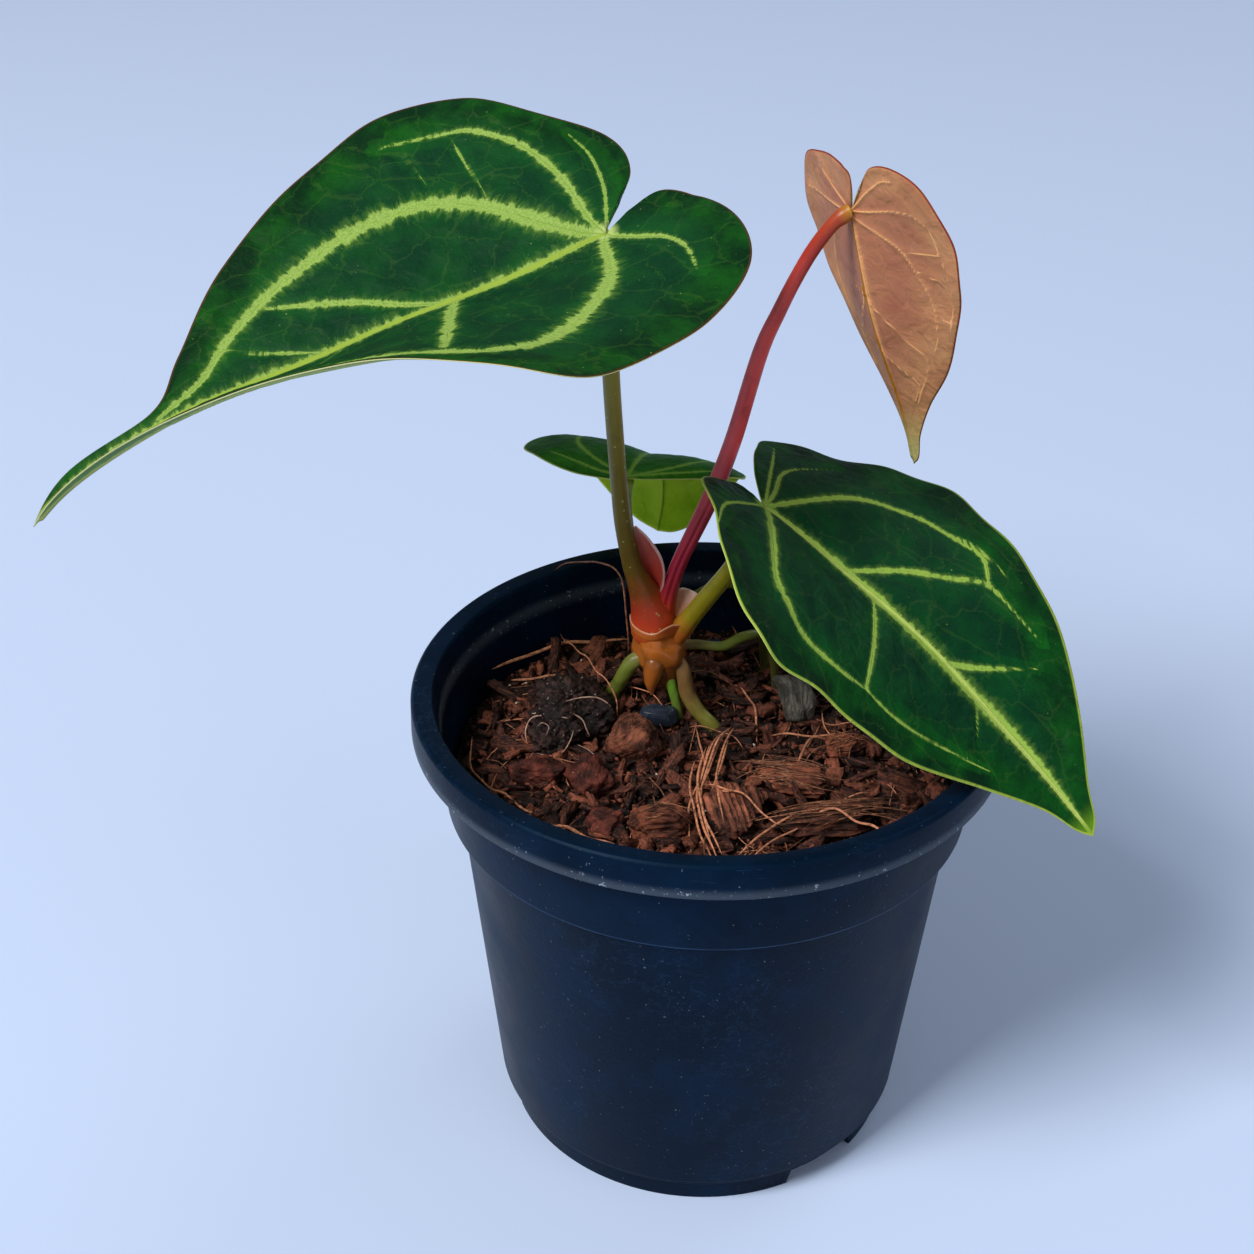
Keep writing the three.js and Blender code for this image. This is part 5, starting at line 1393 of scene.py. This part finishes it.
def blade_finish(name, length, dark, fresh, heart, band, rib, line, margin, tip=None,
                 tip_from=0.8, net=0.1, weave=0.2, teeth=1.0, strength=1.0, roughness=0.5,
                 glow=0.0, margin_width=0.45, line_width=0.26):
    """Leaf skin over the flat blade's own coordinates. Dark and fresh vary slowly, with the
    fresh colour beside the veins and the heart colour far from the margin. On the large and right
    blades the bluer heart colour is painted sheen, the sky's reflection over the middle of the
    blade; on the young blade it is its own darker centre. Over them lie faint winding lines, a net
    of veinlets, a fine weave, tiny pale specks, pale bands beside the veins with toothed edges, the
    raised midrib, the fine centre lines of the other veins, the tip's colour and the margin line.
    Net, weave, teeth and strength scale these marks."""
    dark, fresh, heart, band, rib, line, margin = [
        srgb(*colour) for colour in (dark, fresh, heart, band, rib, line, margin)]
    veinlet = tuple(0.5 * (one + other) for one, other in zip(fresh, line))
    finish = Finish(name, Roughness=roughness, Specular_IOR_Level=0.05, Subsurface_Weight=glow,
                    Subsurface_Scale=0.003)
    finish.shader.inputs["Subsurface Radius"].default_value = (0.6, 1.0, 0.2)
    ease, noise, mix, times, plus = finish.ease, finish.noise, finish.mix, finish.times, finish.plus
    distance, run, width = finish.split(finish.layer("vein").outputs["Vector"])
    along, across, to_margin = finish.split(finish.layer("flat").outputs["Vector"])
    cloth = finish.join(along, across)
    slow = ease(noise(cloth, 0.07, 4, 0.6), 0.38, 0.66, 0, 0.65)
    base = mix(plus(slow, ease(distance, 8, 1.5, 0, 0.4), True), dark, fresh)
    # The heart colour far from the margin: on the large and right blades a painted sheen, the sky's
    # reflection over the blade's middle
    base = mix(ease(to_margin, 5, 18, 0, 0.55), base, heart)
    field = noise(cloth, 0.2, 3, 0.55, 0.6)
    winding = ease(finish.off_half(field), 0.02, 0.003)
    base = mix(times(winding, 0.4 * net), base, fresh)
    warped = finish.join(plus(along, times(field, 9)), across)
    base = mix(ease(finish.cells(warped, 0.085), 0.03, 0.006, 0, 0.6 * net), base, veinlet)
    threads = noise(cloth, 1.7, 3, 0.6)
    base = mix(ease(threads, 0.46, 0.3, 0, weave), base, scaled(dark, 0.35))
    base = mix(ease(threads, 0.54, 0.74, 0, weave), base, fresh)
    base = mix(ease(noise(cloth, 1.1, 1, 0.4), 0.78, 0.8, 0, 0.5), base, band)
    comb = noise(finish.join(times(run, 0.5), times(distance, 0.16)), 1.0, 6, 0.72)
    spread = times(width, ease(comb, 0.3, 0.72, 1 - 0.5 * teeth, 1 + 0.6 * teeth))
    ratio = finish.math("DIVIDE", distance, spread)
    base = mix(ease(ratio, 2.2, 0.9, 0, 0.36 * strength), base, veinlet)
    pale = mix(ease(threads, 0.36, 0.62, 0, 0.5), line, band)
    base = mix(ease(ratio, 1.15, 0.65, 0, strength), base, pale)
    hub = finish.math("SQRT", plus(times(along, along), times(across, across)))
    base = mix(ease(hub, 4.2, 1.2, 0, strength), base, band)
    middle = ease(distance, line_width, 0.4 * line_width, 0, 0.8)
    base = mix(middle, base, line)
    rib_edge = length / 160
    on_rib = times(ease(finish.math("ABSOLUTE", across), rib_edge, 0.6 * rib_edge),
                   ease(along, -1, 1))
    base = mix(on_rib, base, rib)
    if tip is not None:
        base = mix(ease(along, tip_from * length, length, 0, 0.85), base, srgb(*tip))
    base = mix(ease(to_margin, 1.5 * margin_width, 0.6 * margin_width), base, margin)
    cushions = finish.bump(field, 0.7, 0.0012)
    grain = finish.bump(threads, 0.3, 0.0003, cushions)
    raised = plus(times(on_rib, 0.8), middle)
    finish.set(Base_Color=base, Normal=finish.bump(raised, 0.5, 0.0005, grain))
    return finish.material


# The two skins of each blade, upper then lower, as screen colours. The bluer heart of the large
# and right blades' upper skins is painted sheen, and the small blade's lower skin is lightened to
# paint in light where the large blade shades it
LEAF_SKINS = {
    "blade_large": (
        dict(dark=(6, 40, 18), fresh=(22, 86, 20), heart=(14, 58, 36), band=(166, 186, 108),
             rib=(142, 166, 62), line=(122, 156, 62), margin=(84, 54, 28), net=0.16, weave=0.28),
        dict(dark=(86, 122, 70), fresh=(112, 146, 84), heart=(94, 130, 76),
             band=(158, 178, 108), rib=(170, 182, 110), line=(166, 180, 108),
             margin=(188, 192, 136), net=0.12, weave=0.1, roughness=0.6)),
    "blade_young": (
        dict(dark=(164, 104, 74), fresh=(188, 132, 92), heart=(150, 86, 72),
             band=(176, 104, 66), rib=(164, 104, 24), line=(224, 160, 106), margin=(120, 40, 30),
             tip=(190, 184, 118), tip_from=0.72, net=0.12, weave=0.12, teeth=0.2, strength=0.7,
             glow=0.3, margin_width=0.35, line_width=0.36),
        dict(dark=(166, 108, 78), fresh=(190, 134, 96), heart=(152, 88, 74),
             band=(172, 102, 66), rib=(162, 104, 22), line=(228, 164, 112), margin=(120, 40, 30),
             tip=(192, 186, 122), tip_from=0.72, net=0.12, weave=0.12, teeth=0.2, strength=0.8,
             glow=0.3, margin_width=0.35, line_width=0.36)),
    "blade_right": (
        dict(dark=(3, 36, 16), fresh=(12, 78, 20), heart=(5, 52, 32), band=(128, 164, 68),
             rib=(166, 184, 92), line=(140, 170, 70), margin=(146, 166, 60), tip=(104, 146, 28),
             tip_from=0.93, net=0.1, weave=0.28, teeth=0.7, margin_width=0.6),
        dict(dark=(76, 112, 66), fresh=(100, 136, 80), heart=(84, 120, 72),
             band=(142, 166, 98), rib=(158, 174, 100), line=(152, 172, 98),
             margin=(176, 190, 106), net=0.12, weave=0.1, roughness=0.6)),
    "blade_small": (
        dict(dark=(16, 70, 12), fresh=(48, 120, 20), heart=(22, 84, 20), band=(100, 150, 44),
             rib=(120, 160, 56), line=(126, 166, 62), margin=(172, 188, 98), tip=(118, 156, 24),
             tip_from=0.85, net=0.08, strength=0.7),
        # The lower skin's colours are lightened to paint in light on the side that the large blade
        # shades
        dict(dark=(150, 172, 30), fresh=(186, 204, 54), heart=(166, 188, 40),
             band=(190, 206, 70), rib=(150, 172, 48), line=(146, 170, 44), margin=(200, 208, 116),
             net=0.16, weave=0.12, roughness=0.5, glow=0.35)),
}


# Settings

def colour_property(name, description, *screen):
    """A colour setting whose default is a screen colour."""
    return FloatVectorProperty(name=name, description=description, subtype="COLOR", size=3,
                               min=0, max=1, default=srgb(*screen))


class PotSettings(bpy.types.PropertyGroup):
    """The pot"""

    colour: colour_property("Plastic", "Colour of the pot's plastic", 3, 18, 36)


class MixSettings(bpy.types.PropertyGroup):
    """The potting mix and what lies loose on it"""

    chips: IntProperty(name="Chips", description="Husk chips strewn on the mix", default=620)
    crumbs: IntProperty(name="Crumbs", description="Fine crumbs on the mix", default=3200)
    grains: IntProperty(name="Grains", description="Tiny pale grains on the mix", default=130)
    fibres: IntProperty(name="Fibres", description="Short loose fibres", default=240)
    seed: IntProperty(name="Seed", description="Seed of the strewn pieces", default=7)
    dark: colour_property("Damp coir", "Darkest colour of the coir", 22, 11, 10)
    light: colour_property("Dry coir", "Lightest colour of the coir", 164, 94, 70)
    fibre: colour_property("Fibre", "Colour of the loose fibres", 216, 144, 108)


class BladeSettings(bpy.types.PropertyGroup):
    """The blades"""

    thickness: FloatProperty(name="Thickness", description="Thickness of the blades",
                             unit="LENGTH", default=0.00062)
    relief: FloatProperty(name="Relief", description="Depth of the veins and puffs, as a share",
                          subtype="FACTOR", default=1.0)


class StageSettings(bpy.types.PropertyGroup):
    """The floor and the lights"""

    floor: colour_property("Floor", "Colour of the floor", 190, 206, 234)
    key: FloatProperty(name="Key light", description="Power of the main light", unit="POWER",
                       default=172.0)


# Operators

class PieceOperator:
    """What every operator here shares."""

    bl_options = {"REGISTER", "UNDO"}


class AROID_OT_pot(PieceOperator, bpy.types.Operator):
    """Turns the pot"""

    bl_idname = "aroid.pot"
    bl_label = "Pot"

    def execute(self, context):
        points, faces = pot_surface()
        finish = pot_finish(tuple(context.scene.aroid_pot.colour))
        make_piece("nursery_pot", points, faces, [finish], ["pot"])
        return {"FINISHED"}


class AROID_OT_mix(PieceOperator, bpy.types.Operator):
    """Fills the pot with coir mix and strews chips, crumbs and fibres on it"""

    bl_idname = "aroid.mix"
    bl_label = "Potting mix"

    def execute(self, context):
        settings = context.scene.aroid_mix
        dark, light, fibre = map(tuple, (settings.dark, settings.light, settings.fibre))
        seed, chips = settings.seed, settings.chips
        points, faces = mix_surface()
        # The bed's colours are darkened far below the coir's to paint the shade in the gaps between
        # the chips
        bed = coir_finish("coir_bed_finish", scaled(dark, 0.3), scaled(light, 0.2))
        tone = 0.15 + 0.25 * ripples(points, 5, 9, 2)
        make_piece("coir_bed", points, faces, [bed], ["potting_mix"], {"tone": tone})
        husk = coir_finish("husk_chip_finish", dark, light, 1.0, True)
        crumb = coir_finish("crumb_finish", dark, light)
        grain = coir_finish("pale_grain_finish", srgb(120, 104, 90), srgb(214, 206, 194))
        strand = coir_finish("fibre_finish", scaled(fibre, 0.16), fibre, 0.3)
        pale = coir_finish("ball_root_finish", srgb(84, 58, 48), srgb(212, 172, 150), 0.3)
        # How many chips, then their smallest and largest length, their width as a share of
        # the length, and how deep they sink
        heaps = {"husk_large": (chips // 8, 7, 17, (0.35, 0.8), 1.0),
                 "husk_medium": (chips // 3, 3.5, 11, (0.3, 0.75), 0.2),
                 "husk_small": (chips, 2, 7, (0.25, 0.8), 0.1),
                 "husk_shreds": (chips // 2, 4, 17, (0.08, 0.24), -0.6)}
        for name, (count, *spread) in heaps.items():
            points, faces, layers = husk_chips(count, seed + count, *spread)
            make_piece(name, points, faces, [husk], (), layers)
        bits = {"strewn_crumbs": (crumb, crumbs(settings.crumbs, seed + 1)),
                "pale_grains": (grain, pale_grains(settings.grains, seed + 5))}
        for name, (finish, (points, faces, tone)) in bits.items():
            make_piece(name, points, faces, [finish], (), {"tone": tone})
        lots = {"loose_fibres": (strand, loose_fibres(settings.fibres, seed + 2)),
                "long_fibres": (strand, long_fibres()),
                "clinging_strands": (strand, strand_paths(seed + 3)),
                "ball_roots": (pale, ball_roots())}
        for name, (finish, (paths, radii, tones)) in lots.items():
            points, faces = fibre_tubes(paths, radii)
            tone = tones.repeat(len(points) // len(paths))
            make_piece(name, points, faces, [finish], (), {"tone": tone})
        return {"FINISHED"}


class AROID_OT_chunks(PieceOperator, bpy.types.Operator):
    """Lays the husk chunks, the root ball, the striped chip and the pebbles on the mix"""

    bl_idname = "aroid.chunks"
    bl_label = "Chunks"

    def execute(self, context):
        finishes = {kind: chunk_finish(kind, *skin) for kind, (_, *skin) in CHUNK_SKINS.items()}
        for i, (name, *form, kind) in enumerate(CHUNKS):
            points, faces, local, relief = chunk_surface(*form, kind, FIRST_CHUNK_SEED + i)
            make_piece(name + "_fine", points, faces, [finishes[kind]],
                       [name] if i < CAD_CHUNKS else [], {"local": local, "relief": relief})
        return {"FINISHED"}


class AROID_OT_stem_base(PieceOperator, bpy.types.Operator):
    """Grows the rhizome with its bud, the roots, the two sheaths and the collar"""

    bl_idname = "aroid.stem_base"
    bl_label = "Stem base and roots"

    def execute(self, context):
        skins = {name: stem_finish(name, **skin) for name, skin in BASE_SKINS.items()}
        points, faces, share = tube(RHIZOME["path"], RHIZOME["radii"], 90, 64, rhizome_shape)
        bud_points, bud_faces, bud_share = tube(BUD["path"], BUD["radii"], 40, 32)
        joined = faces + [[corner + len(points) for corner in face] for face in bud_faces]
        make_piece("rhizome_fine", np.vstack([points, bud_points]), joined,
                   [skins["rhizome_finish"]], ["rhizome"],
                   {"share": np.concatenate([share, 0.22 + 0.36 * bud_share])})
        for name, (path, radii, skin) in ROOTS.items():
            points, faces, share = tube(path, radii, 70, 24, root_shape)
            make_piece(name + "_fine", points, faces, [skins[skin]], [name],
                       {"share": share})
        for name, sheath in SHEATHS.items():
            points, faces, share, edge = sheath_surface(**sheath)
            make_piece(name + "_fine", points, faces, [skins[name + "_finish"]], [name],
                       {"share": share, "edge": edge})
        points, faces, share = collar_points()
        make_piece("sheath_collar", points, faces, [skins["collar_finish"]], (),
                   {"share": share})
        return {"FINISHED"}


class AROID_OT_petioles(PieceOperator, bpy.types.Operator):
    """Grows the four petioles"""

    bl_idname = "aroid.petioles"
    bl_label = "Petioles"

    def execute(self, context):
        for name, stem in PETIOLES.items():
            slot = stem["slot"]
            finish = stem_finish(slot + "_finish", stem["stops"], stem["mottle"], 0.36,
                                 mottled=0.35, dots=stem["dots"])
            shape = grooved_shape if name == "petiole_young" else petiole_shape
            points, faces, share = tube(stem["path"], stem["radii"], 150, 36, shape)
            points = under_blade(points, BLADES[name.replace("petiole", "blade")])
            make_piece(name + "_fine", points, faces, [finish], [name], {"share": share})
        return {"FINISHED"}


class AROID_OT_blades(PieceOperator, bpy.types.Operator):
    """Spreads the four blades"""

    bl_idname = "aroid.blades"
    bl_label = "Blades"

    def execute(self, context):
        settings = context.scene.aroid_blade
        for name, leaf in BLADES.items():
            large = leaf["length"] > 100
            rows, columns = LARGE_GRID if large else SMALL_GRID
            points, faces, indices, layers = blade_surface(
                leaf, rows, columns, settings.thickness / MM,
                settings.relief * (1 if large else 0.5))
            slot = name.replace("blade", "leaf")
            finishes = [blade_finish(slot + side, leaf["length"], **skin)
                        for side, skin in zip(("_upper", "_lower"), LEAF_SKINS[name])]
            make_piece(name + "_fine", points, faces, finishes, [name], layers, indices)
        return {"FINISHED"}


# Camera and stage

# Where the camera stands, in millimetres, how it is turned, in degrees, its focal length as a
# share of the picture's width, and its sensor's width
CAMERA = dict(place=(0, -444.06, 422.13), yaw=-2.852, pitch=31.21, roll=0.448,
              focal_share=1958.84 / 1254, sensor=36.0)
# What the lights aim at, in metres; then each light's place, size, power as a share of the key
# light's, and colour
AIM = (0, 0, 0.16)
LIGHTS = {
    "key_light": ((-2, -1.75, 3.05), 1.5, 1, (1, 0.99, 0.97)),
    "fill_light": ((2.7, -2.2, 1.6), 3.2, 0.17, (0.92, 0.96, 1)),
    "back_light": ((2.2, 2.2, 3.0), 2.2, 0.16, (0.95, 0.98, 1)),
}
SKY_COLOUR, SKY_STRENGTH = (0.83, 0.89, 1, 1), 0.28
FLOOR_REACH = 6.0


def camera_turn(yaw, pitch, roll):
    """The camera's turn: it looks along yaw from +Y towards +X and down by pitch, then rolls
    about its own line of sight."""
    yaw, pitch, roll = map(math.radians, (yaw, pitch, roll))
    forward = np.array([math.sin(yaw) * math.cos(pitch), math.cos(yaw) * math.cos(pitch),
                        -math.sin(pitch)])
    level = np.array([math.cos(yaw), -math.sin(yaw), 0])
    upright = np.cross(level, forward)
    right = math.cos(roll) * level + math.sin(roll) * upright
    up = -math.sin(roll) * level + math.cos(roll) * upright
    return np.stack([right, up, -forward], -1)


def add_light(name, place, size, power, colour):
    """A square soft light that faces the point that all of them aim at."""
    lamp = bpy.data.lights.new(name, "AREA")
    lamp.shape = "SQUARE"
    lamp.size = size
    lamp.energy = power
    lamp.color = colour
    light = bpy.data.objects.new(name, lamp)
    light.location = place
    light.rotation_euler = (Vector(AIM) - Vector(place)).to_track_quat("-Z", "Y").to_euler()
    bpy.context.scene.collection.objects.link(light)


class AROID_OT_stage(PieceOperator, bpy.types.Operator):
    """Sets the floor, the soft lights and the camera"""

    bl_idname = "aroid.stage"
    bl_label = "Stage"

    def execute(self, context):
        settings = context.scene.aroid_stage
        mesh = bpy.data.meshes.new("floor")
        corners = [(x * FLOOR_REACH, y * FLOOR_REACH, 0)
                   for x, y in ((-1, -1), (1, -1), (1, 1), (-1, 1))]
        mesh.from_pydata(corners, [], [(0, 1, 2, 3)])
        floor = bpy.data.objects.new("floor", mesh)
        floor_finish = Finish("floor_finish", Base_Color=tuple(settings.floor), Roughness=0.9,
                              Specular_IOR_Level=0.2)
        mesh.materials.append(floor_finish.material)
        context.scene.collection.objects.link(floor)
        for name, (place, size, share, colour) in LIGHTS.items():
            add_light(name, place, size, share * settings.key, colour)
        world = bpy.data.worlds.new("soft_sky")
        world.use_nodes = True
        sky = world.node_tree.nodes["Background"].inputs
        sky["Color"].default_value = SKY_COLOUR
        sky["Strength"].default_value = SKY_STRENGTH
        context.scene.world = world
        context.scene.view_settings.view_transform = "Standard"
        lens = bpy.data.cameras.new("photo_camera")
        lens.sensor_width = CAMERA["sensor"]
        lens.lens = CAMERA["sensor"] * CAMERA["focal_share"]
        camera = bpy.data.objects.new("photo_camera", lens)
        facing = camera_turn(CAMERA["yaw"], CAMERA["pitch"], CAMERA["roll"])
        camera.matrix_world = Matrix.Translation(Vector(CAMERA["place"]) * MM) @ Matrix(
            facing.tolist()).to_4x4()
        context.scene.collection.objects.link(camera)
        context.scene.camera = camera
        return {"FINISHED"}


class AROID_PT_panel(bpy.types.Panel):
    """Lists the pieces in the order in which they are made"""

    bl_label = "Potted Aroid"
    bl_idname = "AROID_PT_panel"
    bl_space_type = "VIEW_3D"
    bl_region_type = "UI"
    bl_category = "Potted Aroid"

    def draw(self, context):
        for operator in OPERATORS:
            self.layout.operator(operator.bl_idname)


SETTINGS = {"aroid_pot": PotSettings, "aroid_mix": MixSettings, "aroid_blade": BladeSettings,
            "aroid_stage": StageSettings}
OPERATORS = (AROID_OT_stage, AROID_OT_pot, AROID_OT_mix, AROID_OT_chunks, AROID_OT_stem_base,
             AROID_OT_petioles, AROID_OT_blades)


def register():
    """Adds the settings, the operators and the panel."""
    for item in (*SETTINGS.values(), *OPERATORS, AROID_PT_panel):
        bpy.utils.register_class(item)
    for key, group in SETTINGS.items():
        setattr(bpy.types.Scene, key, PointerProperty(type=group))


def unregister():
    """Takes out what register added."""
    for key in SETTINGS:
        delattr(bpy.types.Scene, key)
    for item in (AROID_PT_panel, *OPERATORS[::-1], *SETTINGS.values()):
        bpy.utils.unregister_class(item)


def main():
    """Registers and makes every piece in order."""
    register()
    for operator in OPERATORS:
        group, name = operator.bl_idname.split(".")
        getattr(getattr(bpy.ops, group), name)()


if __name__ == "__main__":
    main()
